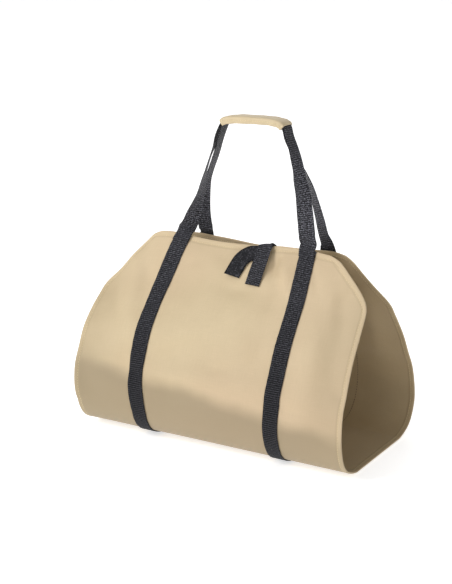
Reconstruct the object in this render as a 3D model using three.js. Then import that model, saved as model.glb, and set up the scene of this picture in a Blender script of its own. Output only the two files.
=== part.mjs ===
// Firewood bag: one sheet of hemmed cloth slung round its load, two webbing straps sewn
// round the outside, two webbing handle loops held together by a cloth grip, and two
// closure tabs at the top opening. It stands filled, as when it is set down with its load.
//
// Millimetres, +Z up. X runs along the bag, -Y is the front, and the floor is z = 0.

import * as THREE from 'three';

// Cloth sheet
const bagLength = 470;
const bagHalfDepth = 141;
const bagHeight = 312;
const clothThickness = 1.4;
const hemWidth = 10;
const hemThickness = 2.2;
const cornerCutAcross = 75;
const cornerCutDown = 77;
const cornerRounding = 14;

// Webbing straps and handle loops
const webbingWidth = 25;
const webbingThickness = 1.6;
const strapSpacing = 230;
const handleRise = 182;
const handleBow = 36;
const handleFootLength = 8;

// Cloth grip round both handle loops
const gripLength = 106;
const gripOffCentre = 7;
const gripArch = 13;
const gripSetBack = 0.7;
const gripClothThickness = 1.2;
const gripFlapLift = 1.6;
const gripClearance = 0.85;

// Closure tabs
const tabWidth = 25;
const tabThickness = 1.2;
const frontTabLength = 69;
const frontTabSlant = 3;
const curledTabLength = 60;
const tabOffCentre = 40;

// Clearances between pieces
const seatGap = 0.3;
const layerGap = 0.3;
const handleLayerGap = 0.8;

// Shape of the filled bag
const topOpening = 36;
const edgeDrift = 20;
const edgeDip = 12;
const wingDroop = 40;
const strapBow = 15;
const sideCurl = 5;
const leftEndFuller = 0.1;
const rightEndSlimmer = 0.09;
const dentDepth = 6;

// Half of the cross-section, from the middle of the base up to the top edge:
// out is a share of bagHalfDepth, up is a share of bagHeight.
const crossSection = [
  { out: 0, up: 0 },
  { out: 0.33, up: 0 },
  { out: 0.58, up: 0 },
  { out: 0.86, up: 0.05 },
  { out: 0.99, up: 0.168 },
  { out: 0.95, up: 0.34 },
  { out: 0.83, up: 0.45 },
  { out: 0.7, up: 0.56 },
  { out: 0.52, up: 0.67 },
  { out: 0.33, up: 0.78 },
  { out: 0.19, up: 0.89 },
  { out: 0.04, up: 1 },
];

// How the two top edges lie, from the left corner to the right one: at is a share of half
// the bag's length, side of edgeDrift, out of topOpening and up of edgeDip.
const frontTopEdge = [
  { at: -0.68, side: -0.98, out: 0.17, up: 0.04 },
  { at: -0.49, side: -0.16, out: 0.17, up: -0.68 },
  { at: -0.25, side: -0.25, out: 0.14, up: -0.99 },
  { at: 0, side: -0.39, out: 0.11, up: -0.87 },
  { at: 0.25, side: -0.51, out: 0.11, up: -0.4 },
  { at: 0.49, side: -0.47, out: 0.17, up: -0.2 },
  { at: 0.68, side: -0.22, out: 0.17, up: -0.88 },
];
const backTopEdge = [
  { at: -0.68, side: 0.5, out: 0.9, up: -1 },
  { at: -0.49, side: 0.7, out: 0.83, up: -1.2 },
  { at: -0.25, side: 0.6, out: 0.6, up: -1.1 },
  { at: 0, side: 0.5, out: 0.34, up: -1 },
  { at: 0.25, side: 0.35, out: 0.3, up: -0.8 },
  { at: 0.49, side: 0.2, out: 0.83, up: -0.8 },
  { at: 0.68, side: 0.1, out: 0.9, up: -0.9 },
];

// How the cloth beyond the straps hangs at its outer edge: side, out and up are shares of
// wingDroop, for each of the four top corners.
const frontWings = { left: { side: 0.39, out: 0.01, up: -1 }, right: { side: -0.18, out: -0.06, up: 0.39 } };
const backWings = { left: { side: 0.1, out: 0.1, up: -0.4 }, right: { side: -0.42, out: -0.12, up: -0.35 } };

// Broad dents and folds: across is a share of half the bag's length and along of the half
// girth, from the base's middle, minus at the front. reach and spread are the fold's half
// length and half width as shares of half the bag's length, turn is the fold's angle from
// the bag's length in degrees, and depth is a share of dentDepth, plus for a ridge.
const folds = [
  { across: 0.27, along: -0.93, reach: 0.2, spread: 0.05, turn: 62, depth: -0.9 },
  { across: 0.36, along: -0.9, reach: 0.2, spread: 0.06, turn: 66, depth: 0.6 },
  { across: 0.04, along: -0.84, reach: 0.16, spread: 0.07, turn: 10, depth: -0.5 },
  { across: 0.82, along: -0.72, reach: 0.34, spread: 0.09, turn: 80, depth: -0.9 },
  { across: 0.7, along: -0.62, reach: 0.4, spread: 0.1, turn: 88, depth: 0.6 },
  { across: -0.72, along: -0.86, reach: 0.24, spread: 0.09, turn: 60, depth: 0.7 },
  { across: -0.6, along: -0.8, reach: 0.26, spread: 0.06, turn: 72, depth: -0.7 },
  { across: -0.66, along: -0.5, reach: 0.18, spread: 0.08, turn: 12, depth: -0.8 },
  { across: -0.12, along: -0.6, reach: 0.34, spread: 0.09, turn: -28, depth: -0.5 },
  { across: 0.1, along: -0.5, reach: 0.4, spread: 0.12, turn: -8, depth: 0.7 },
  { across: -0.2, along: -0.42, reach: 0.3, spread: 0.08, turn: -12, depth: -0.7 },
  { across: 0.72, along: -0.42, reach: 0.22, spread: 0.09, turn: -16, depth: 0.6 },
  { across: -0.9, along: -0.46, reach: 0.2, spread: 0.12, turn: 60, depth: -0.8 },
  { across: 0.2, along: 0.5, reach: 0.4, spread: 0.12, turn: 10, depth: -0.7 },
  { across: -0.25, along: 0.62, reach: 0.34, spread: 0.1, turn: 24, depth: 0.7 },
  { across: -0.7, along: 0.7, reach: 0.3, spread: 0.09, turn: 80, depth: -0.8 },
  { across: 0.74, along: 0.66, reach: 0.34, spread: 0.09, turn: 84, depth: -0.8 },
  { across: 0.05, along: 0.88, reach: 0.22, spread: 0.08, turn: 8, depth: -0.7 },
];

// Rise of each handle leg from the top edge to the grip: rise, inward and back are shares
// of the way from the strap's end to the grip's end, turn is the angle in degrees between
// the webbing's width and the bag's length, and bow is a share of handleBow towards +Y.
const frontLeftLeg = [
  { rise: 0.12, inward: 0.17, back: 0.12, turn: 30, bow: 0 },
  { rise: 0.27, inward: 0.31, back: 0.25, turn: 74, bow: 0 },
  { rise: 0.38, inward: 0.415, back: 0.36, turn: 94, bow: -0.03 },
  { rise: 0.48, inward: 0.48, back: 0.45, turn: 105, bow: -0.05 },
  { rise: 0.58, inward: 0.55, back: 0.54, turn: 113, bow: -0.03 },
  { rise: 0.68, inward: 0.63, back: 0.63, turn: 115, bow: 0 },
  { rise: 0.78, inward: 0.74, back: 0.72, turn: 109, bow: 0 },
  { rise: 0.89, inward: 0.83, back: 0.83, turn: 101, bow: 0 },
];
const frontRightLeg = [
  { rise: 0.1, inward: 0.065, back: 0.1, turn: 28, bow: 0 },
  { rise: 0.29, inward: 0.19, back: 0.26, turn: 41, bow: 0 },
  { rise: 0.47, inward: 0.31, back: 0.43, turn: 56, bow: 0 },
  { rise: 0.565, inward: 0.43, back: 0.52, turn: 70, bow: 0 },
  { rise: 0.65, inward: 0.495, back: 0.6, turn: 77, bow: 0 },
  { rise: 0.745, inward: 0.61, back: 0.7, turn: 80, bow: 0 },
  { rise: 0.83, inward: 0.725, back: 0.77, turn: 86, bow: 0 },
  { rise: 0.92, inward: 0.87, back: 0.86, turn: 92, bow: 0 },
];
const backLeftLeg = [
  { rise: 0.08, inward: -0.03, back: 0.08, turn: 5, bow: 0 },
  { rise: 0.18, inward: -0.07, back: 0.17, turn: 34, bow: 0 },
  { rise: 0.27, inward: -0.03, back: 0.26, turn: 60, bow: 0.03 },
  { rise: 0.37, inward: 0.045, back: 0.36, turn: 82, bow: 0.1 },
  { rise: 0.47, inward: 0.11, back: 0.46, turn: 94, bow: 0.22 },
  { rise: 0.57, inward: 0.24, back: 0.55, turn: 98, bow: 0.28 },
  { rise: 0.68, inward: 0.455, back: 0.65, turn: 99, bow: 0.16 },
  { rise: 0.78, inward: 0.655, back: 0.78, turn: 100, bow: 0.03 },
  { rise: 0.89, inward: 0.835, back: 0.93, turn: 98, bow: 0 },
];
const backRightLeg = [
  { rise: 0.13, inward: 0.115, back: 0.12, turn: 157, bow: 0 },
  { rise: 0.26, inward: 0.195, back: 0.24, turn: 153, bow: 0 },
  { rise: 0.4, inward: 0.3, back: 0.37, turn: 147, bow: 0 },
  { rise: 0.51, inward: 0.41, back: 0.46, turn: 142, bow: 0.03 },
  { rise: 0.594, inward: 0.55, back: 0.47, turn: 134, bow: 0.08 },
  { rise: 0.684, inward: 0.74, back: 0.5, turn: 120, bow: 0.19 },
  { rise: 0.764, inward: 0.84, back: 0.62, turn: 102, bow: 0.03 },
  { rise: 0.85, inward: 0.88, back: 0.82, turn: 95, bow: 0 },
  { rise: 0.92, inward: 0.94, back: 0.96, turn: 92, bow: 0 },
];

// Line of the grip from its left end to its right end: at is a share of gripLength from
// its middle, up is a share of gripArch above the grip's base line.
const gripLine = [
  { at: -0.5, up: 0.3 },
  { at: -0.47, up: 0.5 },
  { at: -0.4, up: 0.68 },
  { at: -0.25, up: 0.84 },
  { at: 0.04, up: 0.96 },
  { at: 0.25, up: 1 },
  { at: 0.39, up: 0.9 },
  { at: 0.46, up: 0.74 },
  { at: 0.5, up: 0.44 },
];

// Way of the front tab, from inside the back panel, over the front edge and down: down is a
// share of frontTabLength below the top edge, across drifts by a share of tabWidth, lift is
// how far it stands off the cloth, in tab thicknesses, and tilt is the rise of its width.
const frontTabWay = [
  { panel: 1, down: 0.19, across: -0.66, lift: -4.4, tilt: 0.04 },
  { panel: 1, down: 0.05, across: -0.72, lift: -4.6, tilt: 0.06 },
  { panel: 1, down: -0.024, across: -0.6, lift: -5, tilt: 0.1 },
  { panel: -1, down: -0.042, across: -0.08, lift: -1.6, tilt: 0.14 },
  { panel: -1, down: -0.016, across: -0.04, lift: 2.8, tilt: 0.14 },
  { panel: -1, down: 0.07, across: 0, lift: 5.4, tilt: 0.1 },
  { panel: -1, down: 0.2, across: 0, lift: 5.4, tilt: 0.08 },
  { panel: -1, down: 0.4, across: 0.02, lift: 4.6, tilt: 0.06 },
  { panel: -1, down: 0.7, across: -0.06, lift: 2.4, tilt: 0.04 },
  { panel: -1, down: 1, across: -0.17, lift: 2, tilt: 0.04 },
];

// Way of the curled tab, sewn on the front panel under the front tab: across and down are
// shares of curledTabLength, across from the front tab's middle and down from the top edge,
// lift is in tab thicknesses, and lean is half the millimetres that its outer edge stands up.
const curledTabWay = [
  { across: 0.08, down: 0.3, lift: 1, lean: 0 },
  { across: -0.12, down: 0.265, lift: 1, lean: 0 },
  { across: -0.33, down: 0.265, lift: 1.6, lean: 0.6 },
  { across: -0.47, down: 0.35, lift: 2.8, lean: 1.6 },
  { across: -0.57, down: 0.5, lift: 3.6, lean: 2.6 },
  { across: -0.64, down: 0.71, lift: 3.8, lean: 3 },
  { across: -0.7, down: 0.94, lift: 3.6, lean: 3 },
];

const halfLength = bagLength / 2;
const strapPlace = strapSpacing / bagLength;
const up = new THREE.Vector3(0, 0, 1);
const alongBag = new THREE.Vector3(1, 0, 0);

// Value of one column of a table at x, as a smooth curve through its rows.
function smoothValue(rows, place, column, x) {
  const last = rows.length - 1;
  const clamped = Math.min(Math.max(x, rows[0][place]), rows[last][place]);
  let index = 0;
  while (index < last - 1 && clamped > rows[index + 1][place]) {
    index += 1;
  }
  const slopeAt = (i) => {
    const before = rows[Math.max(i - 1, 0)];
    const after = rows[Math.min(i + 1, last)];
    return (after[column] - before[column]) / (after[place] - before[place]);
  };
  const span = rows[index + 1][place] - rows[index][place];
  const t = (clamped - rows[index][place]) / span;
  const start = rows[index][column];
  const end = rows[index + 1][column];
  const rise = slopeAt(index) * span * t * (1 - t) * (1 - t);
  const fall = slopeAt(index + 1) * span * t * t * (t - 1);
  return start + (end - start) * t * t * (3 - 2 * t) + rise + fall;
}

function smoothStep(x, low, high) {
  return THREE.MathUtils.smoothstep(x, low, high);
}

// The cross-section's line and its length, which is half the sheet's length.
const sectionLine = new THREE.CatmullRomCurve3(
  crossSection.map((row) => new THREE.Vector3(0, row.out * bagHalfDepth, row.up * bagHeight)),
);
sectionLine.arcLengthDivisions = 400;
const halfGirth = sectionLine.getLength();

// The sheet lies on the two straps, which lie on the floor.
const clothRise = webbingThickness + seatGap;

// Shares of half the girth: the base is flat up to the first, the folds are in full from
// the second, and the lie of the top edge shows from the third.
const flatBaseEnd = 0.22;
const foldsStart = 0.36;
const upperStart = 0.35;

// Share of half the length from which the open ends curl in.
const curlStart = 0.8;

// Outward push of the folds and dents at a place on the sheet. The base stays flat.
function foldHeight(across, along) {
  let height = 0;
  for (const fold of folds) {
    const turn = THREE.MathUtils.degToRad(fold.turn);
    const x = across / halfLength - fold.across;
    const y = ((along / halfGirth - fold.along) * halfGirth) / halfLength;
    const lengthwise = (x * Math.cos(turn) + y * Math.sin(turn)) / fold.reach;
    const crosswise = (y * Math.cos(turn) - x * Math.sin(turn)) / fold.spread;
    height += fold.depth * Math.exp(-lengthwise * lengthwise - crosswise * crosswise);
  }
  return height * dentDepth * smoothStep(Math.abs(along) / halfGirth, flatBaseEnd, foldsStart);
}

// Point on the outside of the sheet: across is measured along the bag from its middle, and
// along round the sheet from the base's middle, minus towards the front edge.
function smoothClothPoint(across, along) {
  const front = along < 0;
  const side = front ? -1 : 1;
  const share = Math.min(Math.abs(along) / halfGirth, 1);
  const section = sectionLine.getPointAt(share);
  const place = across / halfLength;
  const upper = THREE.MathUtils.clamp((share - upperStart) / (1 - upperStart), 0, 1);
  const edge = front ? frontTopEdge : backTopEdge;
  const fullness = place < 0 ? 1 - leftEndFuller * place : 1 - rightEndSlimmer * place;
  const edgeOut = side * smoothValue(edge, 'at', 'out', place) * topOpening;
  const topOut = side * crossSection[crossSection.length - 1].out * bagHalfDepth * fullness;

  let x = across + smoothValue(edge, 'at', 'side', place) * edgeDrift * upper;
  let y = side * section.y * fullness + (edgeOut - topOut) * upper ** 3;
  let z = Math.max(section.z, 0) + smoothValue(edge, 'at', 'up', place) * edgeDip * upper * upper;

  if (front) {
    const leftness = 0.5 - THREE.MathUtils.clamp(place / strapPlace, -1, 1) / 2;
    x -= strapBow * leftness * 4 * upper * (1 - upper);
  }
  const wings = front ? frontWings : backWings;
  const wing = place < 0 ? wings.left : wings.right;
  const reach = wingDroop * upper * smoothStep(Math.abs(place), strapPlace, 1);
  x += wing.side * reach;
  y += wing.out * reach;
  z += wing.up * reach;
  const curl = THREE.MathUtils.clamp((Math.abs(place) - curlStart) / (1 - curlStart), 0, 1);
  x -= Math.sign(place) * sideCurl * curl * curl;
  return new THREE.Vector3(x, y, z + clothRise);
}

const probe = 1;

function normalOf(surface, across, along) {
  const low = Math.max(along - probe, -halfGirth);
  const high = Math.min(along + probe, halfGirth);
  const alongStep = surface(across, high).sub(surface(across, low));
  const acrossStep = surface(across + probe, along).sub(surface(across - probe, along));
  return alongStep.cross(acrossStep).normalize();
}

function clothPoint(across, along) {
  const height = foldHeight(across, along);
  return smoothClothPoint(across, along).addScaledVector(normalOf(smoothClothPoint, across, along), height);
}

function clothNormal(across, along) {
  return normalOf(clothPoint, across, along);
}

// Point that stands off the sheet's outside by a distance, or inside it for a minus one.
function offCloth(across, along, distance) {
  return clothPoint(across, along).addScaledVector(clothNormal(across, along), distance);
}

// Solid between two skins: every row is a list of pairs of an outer and an inner point.
function skinSolid(name, rows, material) {
  const columns = rows[0].length;
  const positions = [];
  for (const row of rows) {
    for (const pair of row) {
      positions.push(...pair.outer.toArray(), ...pair.inner.toArray());
    }
  }
  const outer = (i, j) => (i * columns + j) * 2;
  const inner = (i, j) => outer(i, j) + 1;
  const index = [];
  const quad = (a, b, c, d) => index.push(a, b, c, a, c, d);
  for (let i = 0; i < rows.length - 1; i += 1) {
    for (let j = 0; j < columns - 1; j += 1) {
      quad(outer(i, j), outer(i, j + 1), outer(i + 1, j + 1), outer(i + 1, j));
      index.push(inner(i, j), inner(i + 1, j + 1), inner(i, j + 1));
      index.push(inner(i, j), inner(i + 1, j), inner(i + 1, j + 1));
    }
    const last = columns - 1;
    quad(inner(i, 0), outer(i, 0), outer(i + 1, 0), inner(i + 1, 0));
    quad(outer(i, last), inner(i, last), inner(i + 1, last), outer(i + 1, last));
  }
  for (let j = 0; j < columns - 1; j += 1) {
    const end = rows.length - 1;
    quad(inner(0, j), inner(0, j + 1), outer(0, j + 1), outer(0, j));
    quad(outer(end, j), outer(end, j + 1), inner(end, j + 1), inner(end, j));
  }
  if (enclosedVolume(positions, index) < 0) {
    index.reverse();
  }
  const geometry = new THREE.BufferGeometry();
  geometry.setAttribute('position', new THREE.Float32BufferAttribute(positions, 3));
  geometry.setIndex(index);
  geometry.computeVertexNormals();
  const mesh = new THREE.Mesh(geometry, material);
  mesh.name = name;
  return mesh;
}

function enclosedVolume(positions, index) {
  const corner = (i) => new THREE.Vector3(...positions.slice(index[i] * 3, index[i] * 3 + 3));
  let volume = 0;
  for (let i = 0; i < index.length; i += 3) {
    volume += corner(i).dot(corner(i + 1).cross(corner(i + 2))) / 6;
  }
  return volume;
}

// Half the sheet's width at a place along it, narrower in the cut and rounded corners.
function halfWidthAt(along) {
  const fromTop = halfGirth - Math.abs(along);
  const cut = halfLength - cornerCutAcross * (1 - fromTop / cornerCutDown);
  const blend = Math.max(cornerRounding - Math.abs(cut - halfLength), 0) / cornerRounding;
  const straight = Math.min(cut, halfLength) - (blend * blend * cornerRounding) / 4;
  const round = THREE.MathUtils.clamp(1 - fromTop / cornerRounding, 0, 1);
  return straight - cornerRounding * (1 - Math.sqrt(1 - round * round));
}

// The hem steps down to the single cloth within this distance.
const hemStep = 1;

// Places of the sheet's rows, from the front edge round to the back edge.
function sheetRows() {
  const fromTop = [0, 0.3 * hemWidth, hemWidth, hemWidth + hemStep];
  const cutStart = hemWidth + hemStep;
  const cutEnd = cornerCutDown + 0.3 * cornerRounding;
  const cutRows = 6;
  for (let i = 1; i <= cutRows; i += 1) {
    fromTop.push(cutStart + ((cutEnd - cutStart) * i) / cutRows);
  }
  const wallRows = 19;
  const wallStart = halfGirth - cutEnd;
  const front = fromTop.map((distance) => -halfGirth + distance);
  for (let i = 1; i < wallRows; i += 1) {
    front.push(-wallStart * (1 - i / wallRows));
  }
  return [...front, 0, ...front.map((along) => -along).reverse()];
}

const rowPlaces = sheetRows();

// Across places of the sheet's columns in one row. The strap's edges are columns of their
// own, so that a strap lies flat on the same facets as the sheet. On the cut corners the
// hem takes more of a row, up to the share mostSlant.
const mostSlant = 1.45;

function sheetColumns(along) {
  const middleColumns = 12;
  const wingColumns = 6;
  const strapInside = strapSpacing / 2 - webbingWidth / 2;
  const strapOutside = strapSpacing / 2 + webbingWidth / 2;
  const edge = halfWidthAt(along);
  const slope = halfWidthAt(Math.abs(along)) - halfWidthAt(Math.abs(along) - probe);
  const hemAcross = hemWidth * Math.min(Math.hypot(1, slope / probe), mostSlant);
  const right = [];
  for (let i = 0; i <= middleColumns / 2; i += 1) {
    right.push({ across: (strapInside * i) / (middleColumns / 2), hem: false });
  }
  const wingEnd = edge - hemAcross - hemStep;
  for (let i = 0; i <= wingColumns; i += 1) {
    right.push({ across: strapOutside + ((wingEnd - strapOutside) * i) / wingColumns, hem: false });
  }
  right.push({ across: edge - hemAcross, hem: true }, { across: edge, hem: true });
  const left = right.slice(1).map((column) => ({ across: -column.across, hem: column.hem }));
  return [...left.reverse(), ...right];
}

function makeSheet(material) {
  const rows = rowPlaces.map((along) => {
    const hemRow = halfGirth - Math.abs(along) <= hemWidth;
    return sheetColumns(along).map(({ across, hem }) => {
      const outer = clothPoint(across, along);
      const thickness = hem || hemRow ? hemThickness : clothThickness;
      const inner = outer.clone().addScaledVector(clothNormal(across, along), -thickness);
      return { outer, inner };
    });
  });
  return skinSolid('cloth_sheet', rows, material);
}

// A strap lies on the outside of the sheet, from the front edge round to the back edge.
function makeStrap(name, middle, material) {
  const edges = [middle - webbingWidth / 2, middle + webbingWidth / 2];
  const rows = rowPlaces.map((along) =>
    edges.map((across) => ({
      outer: offCloth(across, along, seatGap + webbingThickness),
      inner: offCloth(across, along, seatGap),
    })),
  );
  return skinSolid(name, rows, material);
}

// Flat band along a smooth line. Each station has its middle and its width direction.
function bandRows(stations, width, thickness) {
  const steps = 2;
  const middles = new THREE.CatmullRomCurve3(stations.map((station) => station.middle));
  const widths = new THREE.CatmullRomCurve3(stations.map((station) => station.width));
  const count = (stations.length - 1) * steps;
  const rows = [];
  for (let i = 0; i <= count; i += 1) {
    const middle = middles.getPoint(i / count);
    const tangent = middles.getTangent(i / count);
    const across = widths.getPoint(i / count);
    across.addScaledVector(tangent, -across.dot(tangent)).normalize();
    const face = tangent.clone().cross(across).normalize();
    rows.push(
      [-0.5, 0.5].map((half) => {
        const edge = middle.clone().addScaledVector(across, half * width);
        return {
          outer: edge.clone().addScaledVector(face, thickness / 2),
          inner: edge.clone().addScaledVector(face, -thickness / 2),
        };
      }),
    );
  }
  return rows;
}

// Line of the grip's middle, with the direction that points out of its arch.
const gripBase = bagHeight + handleRise - gripArch / 2;

function gripStations() {
  const points = gripLine.map((row) => {
    const x = gripOffCentre + row.at * gripLength;
    return new THREE.Vector3(x, gripSetBack, gripBase + row.up * gripArch);
  });
  const line = new THREE.CatmullRomCurve3(points);
  return points.map((point, i) => {
    const tangent = line.getTangent(i / (points.length - 1));
    const outward = tangent.cross(new THREE.Vector3(0, 1, 0)).normalize();
    return { point, outward };
  });
}

const grip = gripStations();

// Handle leg from the end of its strap to the grip. Its foot is the strap's own end face,
// moved on by a small gap in the strap's line, and it goes on in that line before it turns.
function makeLeg(table, middle, panel, gripEnd, flip) {
  const along = panel * halfGirth;
  const seat = offCloth(middle, along, seatGap + webbingThickness / 2);
  const below = offCloth(middle, along - panel * hemWidth, seatGap + webbingThickness / 2);
  const upward = seat.clone().sub(below).normalize();
  const foot = [-0.5, 0.5].map((half) => {
    const across = middle + half * flip * webbingWidth;
    const near = offCloth(across, along, seatGap).addScaledVector(upward, layerGap);
    const far = offCloth(across, along, seatGap + webbingThickness).addScaledVector(upward, layerGap);
    return panel * flip < 0 ? { outer: far, inner: near } : { outer: near, inner: far };
  });
  const edge = clothPoint(middle + probe, along).sub(clothPoint(middle - probe, along));
  const rest = table.map((row) => {
    const turn = THREE.MathUtils.degToRad(row.turn);
    return {
      middle: new THREE.Vector3(
        THREE.MathUtils.lerp(seat.x, gripEnd.x, row.inward),
        THREE.MathUtils.lerp(seat.y, gripEnd.y, row.back) + row.bow * handleBow,
        THREE.MathUtils.lerp(seat.z, gripEnd.z, row.rise),
      ),
      width: new THREE.Vector3(Math.cos(turn), Math.sin(turn), 0),
    };
  });
  const ahead = {
    middle: seat.clone().addScaledVector(upward, handleFootLength),
    width: edge.multiplyScalar(flip).normalize().lerp(rest[0].width, 0.5),
  };
  return { foot, stations: [ahead, ...rest] };
}

// Handle loop: up from the left strap, through the grip and down to the right strap. The
// front loop lies on the outside of the grip's arch and the back loop on its inside.
function makeHandle(name, panel, leftTable, rightTable, rightFlip, material) {
  const layer = (-panel * (webbingThickness + handleLayerGap)) / 2;
  const inGrip = grip.map(({ point, outward }) => ({
    middle: point.clone().addScaledVector(outward, layer),
    width: new THREE.Vector3(0, 1, 0),
  }));
  const leftEnd = inGrip[0].middle;
  const rightEnd = inGrip[inGrip.length - 1].middle;
  const left = makeLeg(leftTable, -strapSpacing / 2, panel, leftEnd, 1);
  const right = makeLeg(rightTable, strapSpacing / 2, panel, rightEnd, rightFlip);
  const stations = [...left.stations, ...inGrip, ...right.stations.reverse()];
  const band = bandRows(stations, webbingWidth, webbingThickness);
  return skinSolid(name, [left.foot, ...band, right.foot], material);
}

// Section of the grip cloth: it starts on top, goes down the front, under and up the back,
// and its free edge laps over the front again. turn is the direction from the webbing's
// corner and layer is 0 for the inner layer and 1 for the outer one.
const gripSection = [
  { turn: 110, layer: 0 },
  { turn: 135, layer: 0 },
  { turn: 160, layer: 0 },
  { turn: 200, layer: 0 },
  { turn: 225, layer: 0 },
  { turn: 250, layer: 0 },
  { turn: 290, layer: 0 },
  { turn: 315, layer: 0 },
  { turn: 340, layer: 0 },
  { turn: 380, layer: 0 },
  { turn: 405, layer: 0 },
  { turn: 430, layer: 0.1 },
  { turn: 470, layer: 1 },
  { turn: 495, layer: 1 },
  { turn: 520, layer: 1 },
  { turn: 560, layer: 1 },
  { turn: 590, layer: 1 },
];

// The lapped edge stands up a little, most at the left end.
const flapTurns = { from: 500, to: 590 };
const flapShares = { from: 0.1, to: 0.75 };

function gripSectionPoint(row, lift) {
  const turn = THREE.MathUtils.degToRad(row.turn);
  const stackHalf = webbingThickness + handleLayerGap / 2;
  const layerStep = gripClothThickness + layerGap;
  const stand = gripClearance + gripClothThickness / 2 + row.layer * layerStep + lift;
  const normal = new THREE.Vector2(Math.cos(turn), Math.sin(turn));
  const corner = new THREE.Vector2(
    (Math.sign(normal.x) * webbingWidth) / 2,
    Math.sign(normal.y) * stackHalf,
  );
  return { place: corner.addScaledVector(normal, stand), normal };
}

function makeGrip(material) {
  const points = grip.map((station) => station.point);
  const outwards = grip.map((station) => station.outward);
  const line = new THREE.CatmullRomCurve3(points);
  const outwardLine = new THREE.CatmullRomCurve3(outwards);
  const steps = 16;
  const rows = [];
  for (let i = 0; i <= steps; i += 1) {
    const share = i / steps;
    const middle = line.getPoint(share);
    const outward = outwardLine.getPoint(share).normalize();
    const place = (point) =>
      middle.clone().addScaledVector(up.clone().cross(alongBag), point.x).addScaledVector(outward, point.y);
    rows.push(
      gripSection.map((row) => {
        const edgeShare = smoothStep(row.turn, flapTurns.from, flapTurns.to);
        const endShare = 1 - smoothStep(share, flapShares.from, flapShares.to);
        const { place: at, normal } = gripSectionPoint(row, gripFlapLift * edgeShare * endShare);
        return {
          outer: place(at.clone().addScaledVector(normal, gripClothThickness / 2)),
          inner: place(at.clone().addScaledVector(normal, -gripClothThickness / 2)),
        };
      }),
    );
  }
  return skinSolid('grip_wrap', rows, material);
}

// The front tab's lower end is cut on a slant: its right corner is the higher one.
function makeFrontTab(material) {
  const stations = frontTabWay.map((row) => {
    const down = row.down * frontTabLength;
    const across = tabOffCentre + row.across * tabWidth;
    const along = row.panel * (halfGirth - Math.max(down, 0));
    const middle = offCloth(across, along, row.lift * tabThickness);
    middle.addScaledVector(up, Math.max(-down, 0));
    return { middle, width: new THREE.Vector3(1, 0, row.tilt) };
  });
  const rows = bandRows(stations, tabWidth, tabThickness);
  const [last, before] = [rows[rows.length - 1][1], rows[rows.length - 2][1]];
  const back = before.outer.clone().sub(last.outer).setLength(frontTabSlant);
  last.outer.add(back);
  last.inner.add(back);
  return skinSolid('closure_tab_front', rows, material);
}

function makeCurledTab(material) {
  const places = curledTabWay.map((row) => ({
    across: tabOffCentre + row.across * curledTabLength,
    along: -halfGirth + row.down * curledTabLength,
  }));
  const stations = curledTabWay.map((row, i) => {
    const before = places[Math.max(i - 1, 0)];
    const after = places[Math.min(i + 1, places.length - 1)];
    const heading = new THREE.Vector2(after.across - before.across, after.along - before.along).normalize();
    const lift = seatGap + row.lift * tabThickness;
    const edgeOf = (half, stand) =>
      offCloth(
        places[i].across - heading.y * half * tabWidth,
        places[i].along + heading.x * half * tabWidth,
        stand,
      );
    const width = edgeOf(0.5, lift + row.lean).sub(edgeOf(-0.5, lift - row.lean));
    return { middle: offCloth(places[i].across, places[i].along, lift + tabThickness / 2), width };
  });
  return skinSolid('closure_tab_curled', bandRows(stations, tabWidth, tabThickness), material);
}

const cloth = new THREE.MeshStandardMaterial({ color: 0xcdb88c, roughness: 0.62, metalness: 0 });
const gripCloth = new THREE.MeshStandardMaterial({ color: 0xd8c48f, roughness: 0.62, metalness: 0 });
const webbing = new THREE.MeshStandardMaterial({ color: 0x26262a, roughness: 0.7, metalness: 0 });
const tabWebbing = new THREE.MeshStandardMaterial({ color: 0x202024, roughness: 0.8, metalness: 0 });

const firewoodBag = new THREE.Group();
firewoodBag.add(
  makeSheet(cloth),
  makeStrap('strap_left', -strapSpacing / 2, webbing),
  makeStrap('strap_right', strapSpacing / 2, webbing),
  makeHandle('handle_front', -1, frontLeftLeg, frontRightLeg, 1, webbing),
  makeHandle('handle_back', 1, backLeftLeg, backRightLeg, -1, webbing),
  makeGrip(gripCloth),
  makeFrontTab(tabWebbing),
  makeCurledTab(tabWebbing),
);

// The origin is under the middle of the bag's box, on the floor.
const wholeBox = new THREE.Box3().setFromObject(firewoodBag);
const middleOfBox = wholeBox.getCenter(new THREE.Vector3());
firewoodBag.position.set(-middleOfBox.x, -middleOfBox.y, -wholeBox.min.z);
firewoodBag.updateMatrixWorld(true);

export default firewoodBag;
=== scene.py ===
import math

import bpy
import numpy as np
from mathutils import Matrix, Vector


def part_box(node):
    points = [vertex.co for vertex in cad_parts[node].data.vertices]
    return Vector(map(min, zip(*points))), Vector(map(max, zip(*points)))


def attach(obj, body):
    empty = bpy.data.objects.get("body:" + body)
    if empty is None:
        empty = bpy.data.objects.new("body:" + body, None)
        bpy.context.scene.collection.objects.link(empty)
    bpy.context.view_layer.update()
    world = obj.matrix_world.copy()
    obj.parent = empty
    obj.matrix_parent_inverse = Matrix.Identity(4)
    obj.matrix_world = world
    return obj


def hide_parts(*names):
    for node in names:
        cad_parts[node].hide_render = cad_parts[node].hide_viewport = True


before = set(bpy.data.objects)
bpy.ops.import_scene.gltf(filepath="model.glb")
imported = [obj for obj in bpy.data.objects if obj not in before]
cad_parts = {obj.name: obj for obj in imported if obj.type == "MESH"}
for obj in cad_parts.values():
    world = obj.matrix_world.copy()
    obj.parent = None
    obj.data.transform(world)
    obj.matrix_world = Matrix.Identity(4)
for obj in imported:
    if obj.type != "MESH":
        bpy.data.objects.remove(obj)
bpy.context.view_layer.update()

# Firewood bag: fine cloth, webbing, grip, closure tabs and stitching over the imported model.
# Metres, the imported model's own frame: X along the bag, -Y is the front, the floor is z = 0.

MM = 0.001

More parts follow.
